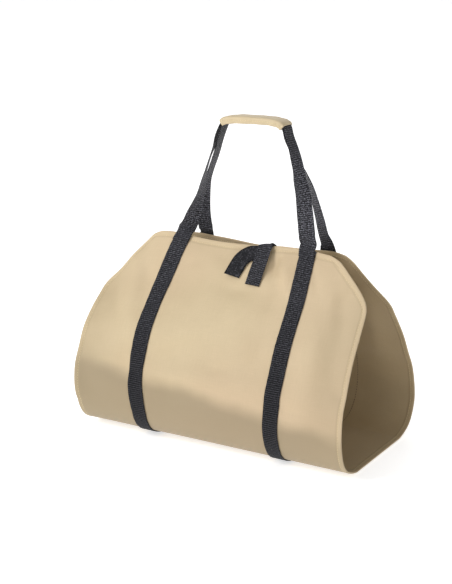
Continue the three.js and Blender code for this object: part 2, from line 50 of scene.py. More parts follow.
# Cloth sheet
bag_length = 470 * MM
bag_half_depth = 141 * MM
bag_height = 312 * MM
cloth_thickness = 1.4 * MM
hem_width = 10 * MM
hem_thickness = 2.2 * MM
hem_stitch_inset = 8 * MM
hem_fold_step = 0.6 * MM
hem_roundness = 0.92
hem_groove = 0.35 * MM
hem_groove_inside = 0.3 * MM
hem_groove_width = 1.1 * MM
hem_swell = 0.25 * MM
hem_swell_inset = 4.5 * MM
hem_swell_width = 3 * MM
hem_insets = np.array([0, 0.3, 0.9, 2, 4.5, 6.8, 7.5, 8, 8.5, 9.4, 10.6]) * MM
most_slant = 1.45
step_across = 4 * MM
step_along = 3.6 * MM
corner_cut_across = 75 * MM
corner_cut_down = 77 * MM
corner_rounding = 14 * MM

# Webbing straps and handle loops
webbing_width = 25 * MM
webbing_thickness = 1.6 * MM
strap_spacing = 230 * MM
handle_rise = 182 * MM
handle_bow = 36 * MM
handle_foot_length = 8 * MM
handle_lap = 14 * MM
handle_lap_gap = 0.15 * MM
foot_blend = 30 * MM
rib_pitch = 3.2 * MM
rib_depth = 0.28 * MM
rib_step = rib_pitch / 4
rib_fullness = 0.7
rib_from_edge = (1 * MM, 2.4 * MM)
webbing_edge = 1.3 * MM
webbing_edge_share = 0.45
strap_wander = 0.12 * MM
strap_wander_length = 17 * MM

# How far the left and right handle feet lean to one side at the sheet's edge
front_leans = (1 * MM, -2.5 * MM)
back_leans = (0, 0)

# Points across one face of a band, as shares of its width from its edge
ring_places = np.array([0.25, 0.9, 2.2, 4.6, 8.5, 12.5, 16.5, 20.4, 22.8, 24.1, 24.75]) / 25

# Cloth grip round both handle loops
grip_length = 106 * MM
grip_off_centre = 7 * MM
grip_arch = 13 * MM
grip_set_back = 0.7 * MM
grip_cloth_thickness = 1.2 * MM
grip_flap_lift = 1.6 * MM
grip_clearance = 0.85 * MM
grip_flap_turns = (500, 590)
grip_flap_shares = (0.1, 0.75)
grip_steps = 72
grip_section_steps = 96
grip_seam_inset = 4 * MM
grip_seam_depth = 0.25 * MM
grip_seam_width = 1 * MM
grip_wrinkle = 0.22 * MM
grip_wrinkle_start = 8 * MM
grip_end_rounding = 0.9 * MM
grip_lap_row = -10

# Closure tabs
tab_width = 25 * MM
tab_thickness = 1.2 * MM
front_tab_length = 69 * MM
front_tab_slant = 3 * MM
curled_tab_length = 60 * MM
tab_off_centre = 40 * MM
tab_step = 0.8 * MM
tab_cupping = 3.2 * MM
tab_cupping_width = 6 * MM
tab_end_fold = 4 * MM
tab_end_swell = 0.45 * MM
curled_tab_slant = -5 * MM

# Clearances between pieces
seat_gap = 0.3 * MM
layer_gap = 0.3 * MM
handle_layer_gap = 0.8 * MM

# Shape of the filled bag
top_opening = 36 * MM
edge_drift = 20 * MM
edge_dip = 12 * MM
wing_droop = 40 * MM
strap_bow = 15 * MM
side_curl = 5 * MM
left_end_fuller = 0.1
right_end_slimmer = 0.09
dent_depth = 6 * MM
wave_height = 0.35 * MM
pucker_height = 0.16 * MM
pucker_width = 5 * MM

# Where these start and are full, as shares of the half girth or of half the length
folds_start, folds_full = 0.22, 0.36
creases_start, creases_full = 0.2, 0.34
upper_start = 0.35
curl_start, curl_span = 0.8, 0.2

# Stitches
stitch_pitch = 4.2 * MM
stitch_length = 3 * MM
thread_radius = 0.35 * MM
seam_step = 2 * MM
strap_seam_inset = 2.6 * MM
base_pressed = 0.7 * MM
base_end, wall_start = 0.24, 0.32
box_inset_across = 4.5 * MM
box_inset_low = 2.5 * MM
box_inset_high = 3 * MM

# Yarns
cloth_yarn = 0.7 * MM
webbing_yarn = 1.15 * MM
yarn_twist = 0.55 * MM
tape_selvage = (10.2 * MM, 11 * MM)

half_length = bag_length / 2
strap_middles = (-strap_spacing / 2, strap_spacing / 2)
strap_place = strap_spacing / bag_length
cloth_rise = webbing_thickness + seat_gap
probe = 1 * MM
nudge = 1e-4
same_point = 1e-6


def table(columns, rows):
    """Table with named columns, each a numpy array."""
    return {name: np.array(values, float) for name, values in zip(columns.split(), zip(*rows))}


# Half of the cross-section, from the middle of the base up to the top edge, as shares of
# the half depth and of the height.
cross_section = table("out up", [
    (0, 0), (0.33, 0), (0.58, 0), (0.86, 0.05), (0.99, 0.168), (0.95, 0.34), (0.83, 0.45),
    (0.7, 0.56), (0.52, 0.67), (0.33, 0.78), (0.19, 0.89), (0.04, 1),
])

# How the two top edges lie, from the left corner to the right one: at is a share of half
# the bag's length, side of edge_drift, out of top_opening and up of edge_dip.
front_top_edge = table("at side out up", [
    (-0.68, -0.98, 0.17, 0.04), (-0.49, -0.16, 0.17, -0.68), (-0.25, -0.25, 0.14, -0.99),
    (0, -0.39, 0.11, -0.87), (0.25, -0.51, 0.11, -0.4), (0.49, -0.47, 0.17, -0.2),
    (0.68, -0.22, 0.17, -0.88),
])
back_top_edge = table("at side out up", [
    (-0.68, 0.5, 0.9, -1), (-0.49, 0.7, 0.83, -1.2), (-0.25, 0.6, 0.6, -1.1),
    (0, 0.5, 0.34, -1), (0.25, 0.35, 0.3, -0.8), (0.49, 0.2, 0.83, -0.8),
    (0.68, 0.1, 0.9, -0.9),
])

# How the cloth beyond the straps hangs at its outer edge, as shares of wing_droop.
front_wings = table("end side out up", [(-1, 0.39, 0.01, -1), (1, -0.18, -0.06, 0.39)])
back_wings = table("end side out up", [(-1, 0.1, 0.1, -0.4), (1, -0.42, -0.12, -0.35)])

# Broad dents and folds: across is a share of half the bag's length and along of the half
# girth, minus at the front; reach and spread are shares of half the bag's length, turn is
# in degrees from the bag's length, and depth is a share of dent_depth, plus for a ridge.
folds = [
    (0.27, -0.93, 0.2, 0.05, 62, -0.9), (0.36, -0.9, 0.2, 0.06, 66, 0.6),
    (0.04, -0.84, 0.16, 0.07, 10, -0.5), (0.82, -0.72, 0.34, 0.09, 80, -0.9),
    (0.7, -0.62, 0.4, 0.1, 88, 0.6), (-0.72, -0.86, 0.24, 0.09, 60, 0.7),
    (-0.6, -0.8, 0.26, 0.06, 72, -0.7), (-0.66, -0.5, 0.18, 0.08, 12, -0.8),
    (-0.12, -0.6, 0.34, 0.09, -28, -0.5), (0.1, -0.5, 0.4, 0.12, -8, 0.7),
    (-0.2, -0.42, 0.3, 0.08, -12, -0.7), (0.72, -0.42, 0.22, 0.09, -16, 0.6),
    (-0.9, -0.46, 0.2, 0.12, 60, -0.8), (0.2, 0.5, 0.4, 0.12, 10, -0.7),
    (-0.25, 0.62, 0.34, 0.1, 24, 0.7), (-0.7, 0.7, 0.3, 0.09, 80, -0.8),
    (0.74, 0.66, 0.34, 0.09, 84, -0.8), (0.05, 0.88, 0.22, 0.08, 8, -0.7),
]

# Rise of each handle leg: rise, inward and back are shares of the way from the strap's end
# to the grip's end, turn is the webbing's angle in degrees and bow a share of handle_bow.
front_left_leg = [
    (0.12, 0.17, 0.12, 30, 0), (0.27, 0.31, 0.25, 74, 0), (0.38, 0.415, 0.36, 94, -0.03),
    (0.48, 0.48, 0.45, 105, -0.05), (0.58, 0.55, 0.54, 113, -0.03), (0.68, 0.63, 0.63, 115, 0),
    (0.78, 0.74, 0.72, 109, 0), (0.89, 0.83, 0.83, 101, 0),
]
front_right_leg = [
    (0.1, 0.065, 0.1, 28, 0), (0.29, 0.19, 0.26, 41, 0), (0.47, 0.31, 0.43, 56, 0),
    (0.565, 0.43, 0.52, 70, 0), (0.65, 0.495, 0.6, 77, 0), (0.745, 0.61, 0.7, 80, 0),
    (0.83, 0.725, 0.77, 86, 0), (0.92, 0.87, 0.86, 92, 0),
]
back_left_leg = [
    (0.08, -0.03, 0.08, 5, 0), (0.18, -0.07, 0.17, 34, 0), (0.27, -0.03, 0.26, 60, 0.03),
    (0.37, 0.045, 0.36, 82, 0.1), (0.47, 0.11, 0.46, 94, 0.22), (0.57, 0.24, 0.55, 98, 0.28),
    (0.68, 0.455, 0.65, 99, 0.16), (0.78, 0.655, 0.78, 100, 0.03), (0.89, 0.835, 0.93, 98, 0),
]
back_right_leg = [
    (0.13, 0.115, 0.12, 157, 0), (0.26, 0.195, 0.24, 153, 0), (0.4, 0.3, 0.37, 147, 0),
    (0.51, 0.41, 0.46, 142, 0.03), (0.594, 0.55, 0.47, 134, 0.08),
    (0.684, 0.74, 0.5, 120, 0.19), (0.764, 0.84, 0.62, 102, 0.03), (0.85, 0.88, 0.82, 95, 0),
    (0.92, 0.94, 0.96, 92, 0),
]

# Line of the grip from its left end: shares of its length from its middle, and of its arch.
grip_line = [
    (-0.5, 0.3), (-0.47, 0.5), (-0.4, 0.68), (-0.25, 0.84), (0.04, 0.96), (0.25, 1),
    (0.39, 0.9), (0.46, 0.74), (0.5, 0.44),
]

# Section of the grip cloth: direction in degrees from the webbing's corner, and the layer.
grip_section = [
    (110, 0), (135, 0), (160, 0), (200, 0), (225, 0), (250, 0), (290, 0), (315, 0), (340, 0),
    (380, 0), (405, 0), (430, 0.1), (470, 1), (495, 1), (520, 1), (560, 1), (590, 1),
]

# Way of the front tab: panel (1 is the back one), down as a share of its length, across as
# a share of its width, lift in tab thicknesses, and tilt, the rise of its width.
front_tab_way = [
    (1, 0.19, -0.66, -4.4, 0.04), (1, 0.05, -0.72, -4.6, 0.06), (1, -0.024, -0.6, -5, 0.1),
    (-1, -0.042, -0.08, -1.6, 0.14), (-1, -0.016, -0.04, 2.8, 0.14), (-1, 0.07, 0, 5.4, 0.1),
    (-1, 0.2, 0, 5.4, 0.08), (-1, 0.4, 0.02, 4.6, 0.06), (-1, 0.7, -0.06, 2.4, 0.04),
    (-1, 1, -0.17, 2, 0.04),
]

# Way of the curled tab: across and down as shares of its length, lift and lean in tab
# thicknesses.
curled_tab_way = [
    (0.08, 0.3, 1, 0), (-0.12, 0.265, 1, 0), (-0.33, 0.265, 1.6, 0.6), (-0.47, 0.35, 2.8, 1.6),
    (-0.57, 0.5, 3.6, 2.6), (-0.64, 0.71, 3.8, 3), (-0.7, 0.94, 3.6, 3),
]

# Camera, at the photo's viewing angle
camera_azimuth = math.radians(31.7)
camera_elevation = math.radians(17.5)
camera_distance = 2.2787
camera_lens = 88.79
camera_reach = 60
camera_target = Vector((-0.0371, -0.0004, 0.2184))


def add_object(name, data):
    made = bpy.data.objects.new(name, data)
    bpy.context.scene.collection.objects.link(made)
    return made


def aim(made, place, way):
    """Put a camera or a lamp in its place, looking the given way."""
    made.location = place
    made.rotation_mode = "QUATERNION"
    made.rotation_quaternion = way.to_track_quat("-Z", "Y")


def make_camera():
    back = Vector((
        math.sin(camera_azimuth) * math.cos(camera_elevation),
        -math.cos(camera_azimuth) * math.cos(camera_elevation),
        math.sin(camera_elevation),
    ))
    data = bpy.data.cameras.new("camera")
    data.lens = camera_lens
    data.clip_end = camera_reach
    camera = add_object("camera", data)
    aim(camera, camera_target + back * camera_distance, -back)
    bpy.context.scene.camera = camera


make_camera()


# Smooth lines


def unit(vectors):
    return vectors / np.linalg.norm(vectors, axis=-1, keepdims=True)


def spline(points, places):
    """Smooth line through points, at places from 0 to 1 that take each stretch as equally long."""
    points = np.asarray(points, float)
    count = len(points)
    padded = np.vstack([2 * points[0] - points[1], points, 2 * points[-1] - points[-2]])
    reach = np.asarray(places, float) * (count - 1)
    index = np.clip(reach.astype(int), 0, count - 2)
    t = (reach - index)[..., None]
    p0, p1, p2, p3 = (padded[index + k] for k in range(4))
    d0, d1, d2 = (
        np.sqrt(np.linalg.norm(b - a, axis=-1, keepdims=True))
        for a, b in ((p0, p1), (p1, p2), (p2, p3))
    )
    d1 = np.where(d1 < same_point, 1, d1)
    d0 = np.where(d0 < same_point, d1, d0)
    d2 = np.where(d2 < same_point, d1, d2)
    start = ((p1 - p0) / d0 - (p2 - p0) / (d0 + d1) + (p2 - p1) / d1) * d1
    end = ((p2 - p1) / d1 - (p3 - p1) / (d1 + d2) + (p3 - p2) / d2) * d1
    cubic = 2 * p1 - 2 * p2 + start + end
    square = -3 * p1 + 3 * p2 - 2 * start - end
    return cubic * t**3 + square * t**2 + start * t + p1


def tangents(points, places):
    """Directions of the smooth line through points."""
    low = np.clip(places - nudge, 0, 1)
    high = np.clip(places + nudge, 0, 1)
    return unit(spline(points, high) - spline(points, low))


def lengths_along(points):
    """Distance along a line of points, from its first one."""
    steps = np.linalg.norm(np.diff(points, axis=0), axis=1)
    return np.concatenate([[0], np.cumsum(steps)])


def even_places(points, step, samples=2000):
    """Places on the smooth line through points that lie a step apart, and their distances."""
    places = np.linspace(0, 1, samples)
    reach = lengths_along(spline(points, places))
    count = max(int(round(reach[-1] / step)), 2)
    distances = np.linspace(0, reach[-1], count + 1)
    return np.interp(distances, reach, places), distances


def smooth_step(x, low, high):
    t = np.clip((x - low) / (high - low), 0, 1)
    return t * t * (3 - 2 * t)


def hump(x, middle, width):
    """1 at the middle, falling off to 0 on both sides."""
    return np.exp(-(((x - middle) / width) ** 2))


def level(turn):
    """Level direction at an angle in degrees from the bag's length."""
    return np.array([math.cos(math.radians(turn)), math.sin(math.radians(turn)), 0])


def smooth_value(rows, column, x):
    """Value of one column of a table at x, as a smooth curve through its rows."""
    at = rows["at"]
    values = rows[column]
    slopes = np.empty(len(at))
    slopes[1:-1] = (values[2:] - values[:-2]) / (at[2:] - at[:-2])
    slopes[0] = (values[1] - values[0]) / (at[1] - at[0])
    slopes[-1] = (values[-1] - values[-2]) / (at[-1] - at[-2])
    x = np.clip(x, at[0], at[-1])
    index = np.clip(np.searchsorted(at, x) - 1, 0, len(at) - 2)
    span = at[index + 1] - at[index]
    t = (x - at[index]) / span
    rise = slopes[index] * span * t * (1 - t) ** 2
    fall = slopes[index + 1] * span * t * t * (t - 1)
    step = values[index + 1] - values[index]
    return values[index] + step * t * t * (3 - 2 * t) + rise + fall


# Surface of the cloth sheet

section_points = np.stack([
    0 * cross_section["out"],
    cross_section["out"] * bag_half_depth,
    cross_section["up"] * bag_height,
], axis=1)
section_places = np.linspace(0, 1, 401)
section_reach = lengths_along(spline(section_points, section_places))
half_girth = section_reach[-1]


def section_at(share):
    return spline(section_points, np.interp(share * half_girth, section_reach, section_places))


def dents(rows, across, along, scale):
    """Sum of long humps and hollows on the cloth, one for each row."""
    height = 0
    for at_across, at_along, reach, spread, turn, depth in rows:
        cosine, sine, _ = level(turn)
        x = across / half_length - at_across
        y = (along / half_girth - at_along) * half_girth / half_length
        lengthwise = (x * cosine + y * sine) / reach
        crosswise = (y * cosine - x * sine) / spread
        height = height + depth * scale * np.exp(-lengthwise**2 - crosswise**2)
    return height


def fold_height(across, along):
    """Outward push of the broad folds. The base stays flat."""
    calm = smooth_step(np.abs(along) / half_girth, folds_start, folds_full)
    return dents(folds, across, along, 1) * dent_depth * calm


# Small creases that only the fine cloth has, in the same columns as the folds, with depth
# in millimetres.
creases = [
    (0.28, -0.938, 0.12, 0.035, -62, -3.8), (0.38, -0.922, 0.13, 0.045, -58, 2.7),
    (0.11, -0.838, 0.13, 0.04, -14, -1.4), (-0.12, -0.944, 0.08, 0.06, 43, -1.8),
    (0.0, -0.9, 0.12, 0.03, -12, -1), (-0.36, -0.9, 0.12, 0.035, -24, -1),
    (0.32, -0.792, 0.09, 0.04, -86, -1.6), (0.33, -0.614, 0.12, 0.05, -82, -1.3),
    (0.76, -0.779, 0.22, 0.05, 73, 1.9), (1, -0.77, 0.32, 0.15, 84, -6.5),
    (0.83, -0.86, 0.1, 0.05, -50, -1.6), (0.95, -0.526, 0.06, 0.04, 45, -1.8),
    (0.58, -0.9, 0.1, 0.03, 70, -1.3), (-0.58, -0.93, 0.1, 0.03, 64, -1.1),
    (-0.95, -0.8, 0.09, 0.06, -79, -2.1), (-0.95, -0.576, 0.07, 0.05, 75, -1.8),
    (-0.78, -0.74, 0.18, 0.035, 64, -1.3), (-0.56, -0.499, 0.08, 0.04, 26, -2.1),
    (-0.66, -0.52, 0.1, 0.03, 16, 1.4), (-0.27, -0.453, 0.12, 0.05, 6, -1.6),
    (0.07, -0.549, 0.09, 0.04, 2, -1.3), (-0.05, -0.66, 0.22, 0.03, -32, -0.8),
    (0.16, -0.58, 0.26, 0.035, -26, 0.8), (0.3, -0.44, 0.24, 0.03, -4, -1.1),
    (0.62, -0.46, 0.14, 0.03, 12, -1.3), (0.5, 0.9, 0.14, 0.03, 110, -0.8),
    (0.1, 0.78, 0.2, 0.03, 20, -0.6), (-0.3, 0.86, 0.16, 0.03, -30, 0.7),
    (-0.6, 0.6, 0.14, 0.03, 40, -0.7), (0.35, 0.56, 0.26, 0.035, -12, -0.6),
    (-0.1, 0.46, 0.24, 0.03, 8, -0.6), (0.66, 0.84, 0.16, 0.03, 60, 0.7),
]


def crease_height(across, along):
    """Small creases, slack waves and the pucker beside the straps' seams."""
    height = dents(creases, across, along, MM)
    waves = (
        np.sin(across / (31 * MM) + np.sin(along / (53 * MM)) * 1.7)
        * np.sin(along / (37 * MM) + np.sin(across / (61 * MM)) * 1.3)
    )
    beside_strap = np.abs(np.abs(across) - strap_spacing / 2) - webbing_width / 2
    gathers = np.sin(along / (3.1 * MM) + np.sin(along / (23 * MM)) * 2)
    pucker = hump(beside_strap, 0, pucker_width) * gathers
    calm = smooth_step(np.abs(along) / half_girth, creases_start, creases_full)
    return (height + wave_height * waves + pucker_height * pucker) * calm


def hanging(end, column, place, front):
    """Value of a wing's column for the end that a place is on."""
    left, right = (np.where(front, front_wings[column][k], back_wings[column][k]) for k in (0, 1))
    return np.where(place < 0, left, right) * end


def smooth_cloth(across, along):
    """Points on the sheet's outside without its folds. along is minus at the front."""
    across, along = np.broadcast_arrays(across, along)
    front = along < 0
    side = np.where(front, -1.0, 1.0)
    share = np.minimum(np.abs(along) / half_girth, 1)
    section = section_at(share)
    place = across / half_length
    upper = np.clip((share - upper_start) / (1 - upper_start), 0, 1)
    edges = (front_top_edge, back_top_edge)
    drift, out, lift = (
        np.where(front, *(smooth_value(edge, name, place) for edge in edges))
        for name in ("side", "out", "up")
    )
    fullness = np.where(place < 0, 1 - left_end_fuller * place, 1 - right_end_slimmer * place)
    edge_out = side * out * top_opening
    top_out = side * cross_section["out"][-1] * bag_half_depth * fullness
    bow = np.clip(place / strap_place, -1, 1) / 2 - 0.5
    reach = wing_droop * upper * smooth_step(np.abs(place), strap_place, 1)
    curl = side_curl * np.clip((np.abs(place) - curl_start) / curl_span, 0, 1) ** 2
    bowed = np.where(front, strap_bow * bow * 4 * upper * (1 - upper), 0)
    x = across + drift * edge_drift * upper + bowed
    y = side * section[..., 1] * fullness + (edge_out - top_out) * upper**3
    z = np.maximum(section[..., 2], 0) + lift * edge_dip * upper**2 + cloth_rise
    x = x + hanging(reach, "side", place, front) - np.sign(place) * curl
    y = y + hanging(reach, "out", place, front)
    z = z + hanging(reach, "up", place, front)
    return np.stack([x, y, z], axis=-1)


def normals_of(surface, across, along):
    low = np.maximum(along - probe, -half_girth)
    high = np.minimum(along + probe, half_girth)
    along_step = surface(across, high) - surface(across, low)
    across_step = surface(across + probe, along) - surface(across - probe, along)
    return unit(np.cross(along_step, across_step))


def cloth_point(across, along):
    across, along = np.broadcast_arrays(np.asarray(across, float), np.asarray(along, float))
    height = fold_height(across, along) + crease_height(across, along)
    return smooth_cloth(across, along) + normals_of(smooth_cloth, across, along) * height[..., None]


def place_pairs(across, along):
    """Places on a cloth, in metres across and along it."""
    return np.stack(np.broadcast_arrays(across, along), axis=-1)


def off_cloth(across, along, distance):
    """Points that stand off the sheet's outside by a distance, or inside it for a minus one."""
    across, along, distance = np.broadcast_arrays(across, along, distance)
    return cloth_point(across, along) + normals_of(cloth_point, across, along) * distance[..., None]


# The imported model's origin is under the middle of its whole box, so what is worked out from
# the sheet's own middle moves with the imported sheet.
sheet_low, sheet_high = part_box("cloth_sheet")
outline = cloth_point(*np.meshgrid(
    np.linspace(-half_length, half_length, 60),
    np.linspace(-half_girth, half_girth, 120),
))
own_middle = (outline.reshape(-1, 3).min(0) + outline.reshape(-1, 3).max(0)) / 2
packed_middle = (np.array(sheet_low) + np.array(sheet_high)) / 2
shift = np.array([packed_middle[0] - own_middle[0], packed_middle[1] - own_middle[1], 0])


# Meshes


def add_piece(name, points, faces, places, material, node=None):
    """Mesh that rides on the bag. places are metres across and along each point's cloth."""
    mesh = bpy.data.meshes.new(name)
    mesh.from_pydata((points + shift).tolist(), [], faces)
    mesh.polygons.foreach_set("use_smooth", [True] * len(mesh.polygons))
    corners = np.empty(len(mesh.loops), int)
    mesh.loops.foreach_get("vertex_index", corners)
    layer = mesh.uv_layers.new(name="cloth_metres")
    layer.data.foreach_set("uv", np.asarray(places, float)[corners].ravel())
    mesh.materials.append(material)
    mesh.update()
    piece = add_object(name, mesh)
    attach(piece, "root")
    if node:
        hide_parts(node)
    return piece


def facing_out(points, faces):
    """The same faces, turned over where they enclose a minus volume."""
    volume = 0
    for face in faces:
        a, b, c = (points[face[k]] for k in (0, 1, 2))
        volume += np.dot(a, np.cross(b, c))
        if len(face) == 4:
            volume += np.dot(a, np.cross(c, points[face[3]]))
    return faces if volume > 0 else [face[::-1] for face in faces]


def grid_faces(rows, columns, start=0, turned=False):
    index = np.arange(rows * columns).reshape(rows, columns) + start
    corners = [index[:-1, :-1], index[:-1, 1:], index[1:, 1:], index[1:, :-1]]
    quads = np.stack(corners, axis=-1).reshape(-1, 4)
    return (quads[:, ::-1] if turned else quads).tolist()


def sheet_solid(outer, inner):
    """Points and faces of a cloth with two skins, each rows by columns of points."""
    rows, columns = outer.shape[:2]
    points = np.vstack([outer.reshape(-1, 3), inner.reshape(-1, 3)])
    total = rows * columns
    faces = grid_faces(rows, columns) + grid_faces(rows, columns, total, turned=True)
    index = np.arange(total).reshape(rows, columns)
    rim = np.concatenate([index[0, :-1], index[:-1, -1], index[-1, :0:-1], index[:0:-1, 0]])
    ahead = np.roll(rim, -1)
    faces += np.stack([rim, rim + total, ahead + total, ahead], axis=-1).tolist()
    return points, facing_out(points, faces)


def ring_solid(rings):
    """Points and faces of a closed band, with one ring of points for each step along it."""
    rows, count = rings.shape[:2]
    points = rings.reshape(-1, 3)
    index = np.arange(rows * count).reshape(rows, count)
    ahead = np.roll(index, -1, axis=1)
    quads = np.stack([index[:-1], ahead[:-1], ahead[1:], index[1:]], axis=-1)
    faces = quads.reshape(-1, 4).tolist()
    faces += [index[0, ::-1].tolist(), index[-1].tolist()]
    return points, facing_out(points, faces)


# Cloth sheet


def half_width_at(along):
    """Half the sheet's width at a place along it, narrower in the cut and rounded corners."""
    from_top = half_girth - np.abs(along)
    cut = half_length - corner_cut_across * (1 - from_top / corner_cut_down)
    blend = np.maximum(corner_rounding - np.abs(cut - half_length), 0) / corner_rounding
    straight = np.minimum(cut, half_length) - blend * blend * corner_rounding / 4
    turn = np.clip(1 - from_top / corner_rounding, 0, 1)
    return straight - corner_rounding * (1 - np.sqrt(1 - turn * turn))


def edge_stretch(along):
    """How much wider the hem lies across the sheet where its edge slants."""
    slope = np.abs(half_width_at(np.abs(along)) - half_width_at(np.abs(along) - probe)) / probe
    return np.minimum(np.hypot(1, slope), most_slant)


def hem_profile(inset):
    """Stand-off of the outer skin and of the inner one at a distance in from the edge."""
    radius = hem_thickness / 2
    turn = 1 - np.clip(inset / radius, 0, 1)
    edge = hem_roundness * radius * (1 - np.sqrt(1 - turn * turn))
    doubled = 1 - smooth_step(inset, hem_width - hem_fold_step, hem_width + hem_fold_step)
    groove = hump(inset, hem_stitch_inset, hem_groove_width)
    swell = hem_swell * hump(inset, hem_swell_inset, hem_swell_width)
    outer = swell - edge - hem_groove * groove
    extra = (hem_thickness - cloth_thickness) * doubled
    inner = -cloth_thickness - extra + edge + hem_groove_inside * groove
    return outer, inner


def edge_steps(length, step):
    """Places from one edge to the middle: the hem's own ones, then even steps."""
    count = int(round((length - hem_insets[-1]) / step))
    return np.concatenate([hem_insets, np.linspace(hem_insets[-1], length, count + 1)[1:]])


def make_cloth(material, shaded_inside_material):
    """The whole sheet, its outer skin in one material and its inner one in a darker copy that
    paints shade on the inside.
    """
    from_top = edge_steps(half_girth, step_along)
    rows = np.concatenate([-half_girth + from_top, (half_girth - from_top)[::-1][1:]])
    columns_in = edge_steps(half_length, step_across)
    insets = np.concatenate([columns_in, columns_in[::-1][1:]])
    sides = np.concatenate([-np.ones(len(columns_in)), np.ones(len(columns_in) - 1)])
    sides[len(columns_in) - 1] = 0
    along = rows[:, None]
    edge = half_width_at(along)
    stretch = edge_stretch(along)
    in_hem = np.minimum(insets, hem_insets[-1])
    beyond = np.maximum(insets - hem_insets[-1], 0) / (half_length - hem_insets[-1])
    from_edge = in_hem * stretch + beyond * (edge - hem_insets[-1] * stretch)
    across = sides * (edge - from_edge)
    along = np.broadcast_to(along, across.shape)
    inset = np.minimum(np.broadcast_to(insets, across.shape), half_girth - np.abs(along))
    outer_stand, inner_stand = hem_profile(inset)
    outer = off_cloth(across, along, outer_stand)
    inner = off_cloth(across, along, inner_stand)
    points, faces = sheet_solid(outer, inner)
    places = np.tile(place_pairs(across, along).reshape(-1, 2), (2, 1))
    cloth = add_piece("bag_cloth", points, faces, places, material, "cloth_sheet")
    cloth.data.materials.append(shaded_inside_material)
    skin = (outer.shape[0] - 1) * (outer.shape[1] - 1)
    for polygon in cloth.data.polygons[skin:2 * skin]:
        polygon.material_index = 1


# Webbing


def webbing_ring(width, thickness):
    """One ring round a band: places across it, and stand-off, which is minus on its back."""
    half = width / 2
    face = half - ring_places * width
    across = np.concatenate([[half], face, [-half], face[::-1]])
    side = np.concatenate([[0], np.ones(len(face)), [0], -np.ones(len(face))])
    edge = np.clip((half - np.abs(across)) / webbing_edge, 0, 1)
    fullness = webbing_edge_share + (1 - webbing_edge_share) * np.sqrt(edge)
    return across, side * thickness / 2 * fullness


def rib_height(distance, across, width):
    """How far the ribs' grooves cut in, at a distance along the webbing."""
    ridge = np.abs(np.sin(math.pi * distance / rib_pitch)) ** rib_fullness
    inside = smooth_step(width / 2 - np.abs(across), *rib_from_edge)
    return rib_depth * (1 - ridge) * inside


def ribbed(stand, groove):
    """Stand-off of a ring with its ribs' grooves cut in on both sides."""
    return np.sign(stand) * np.maximum(np.abs(stand) - groove, 0)


def make_strap(name, node, middle, material):
    """Strap round the whole outside of the sheet. Its ribs are cut in on the face alone."""
    steps = int(2 * half_girth / rib_step)
    along = np.linspace(-half_girth, half_girth, steps + 1)[:, None]
    ring_across, stand = webbing_ring(webbing_width, webbing_thickness)
    groove = rib_height(along, ring_across, webbing_width)
    height = seat_gap + webbing_thickness / 2 + stand - np.sign(stand) * groove * (stand > 0)
    wander = strap_wander * np.sin(along / strap_wander_length) * np.sign(ring_across)
    rings = off_cloth(middle + ring_across + wander, along, height)
    points, faces = ring_solid(rings)
    places = place_pairs(ring_across, along).reshape(-1, 2)
    add_piece(name, points, faces, places, material, node)


def band_rings(middles, widths, width, thickness, step, has_ribs=True):
    """Rings of a flat band along a smooth line, and their places on the band."""
    places, distances = even_places(middles, step)
    distances = distances[:, None]
    middle = spline(middles, places)
    tangent = tangents(middles, places)
    across = spline(widths, places)
    across = unit(across - tangent * np.sum(across * tangent, axis=1, keepdims=True))
    face = np.cross(tangent, across)
    ring_across, stand = webbing_ring(width, thickness)
    groove = rib_height(distances, ring_across, width) if has_ribs else 0 * distances
    stand = ribbed(stand, groove)[..., None]
    rings = middle[:, None] + across[:, None] * ring_across[None, :, None] + face[:, None] * stand
    return rings, place_pairs(ring_across, distances)


# Handle loops

grip_base = bag_height + handle_rise - grip_arch / 2
grip_points = np.array([
    (grip_off_centre + at * grip_length, grip_set_back, grip_base + up * grip_arch)
    for at, up in grip_line
])
to_back = np.array([0, 1, 0])
grip_tangents = tangents(grip_points, np.linspace(0, 1, len(grip_points)))
grip_outward = unit(np.cross(grip_tangents, to_back))


def leg_stations(leg, middle, panel, grip_end, flip):
    """Middles and width directions of a handle leg, from the end of its strap up."""
    along = panel * half_girth
    stand = seat_gap + webbing_thickness / 2
    seat = off_cloth(middle, along, stand)
    below = off_cloth(middle, along - panel * hem_width, stand)
    upward = unit(seat - below)
    edge = flip * unit(cloth_point(middle + probe, along) - cloth_point(middle - probe, along))
    middles = [seat, seat + upward * handle_foot_length]
    widths = [edge, (edge + level(leg[0][3])) / 2]
    for rise, inward, back, turn, bow in leg:
        way = np.array([inward, back, rise])
        middles.append(seat + (grip_end - seat) * way + bow * handle_bow * to_back)
        widths.append(level(turn))
    return middles, widths


def lap_rings(middle, panel, flip, facing, lean):
    """Rings of a leg's foot, sewn on the outside of its strap, from its end up to the edge."""
    ring_across, stand = webbing_ring(webbing_width, webbing_thickness)
    down = np.linspace(handle_lap, 0, int(handle_lap / rib_step) + 1)[:, None]
    across = middle + flip * ring_across + lean * (1 - down / handle_lap)
    stand = ribbed(stand, rib_height(down, ring_across, webbing_width))
    height = seat_gap + webbing_thickness * 1.5 + handle_lap_gap + facing * stand
    return off_cloth(across, panel * (half_girth - down), height), place_pairs(ring_across, down)


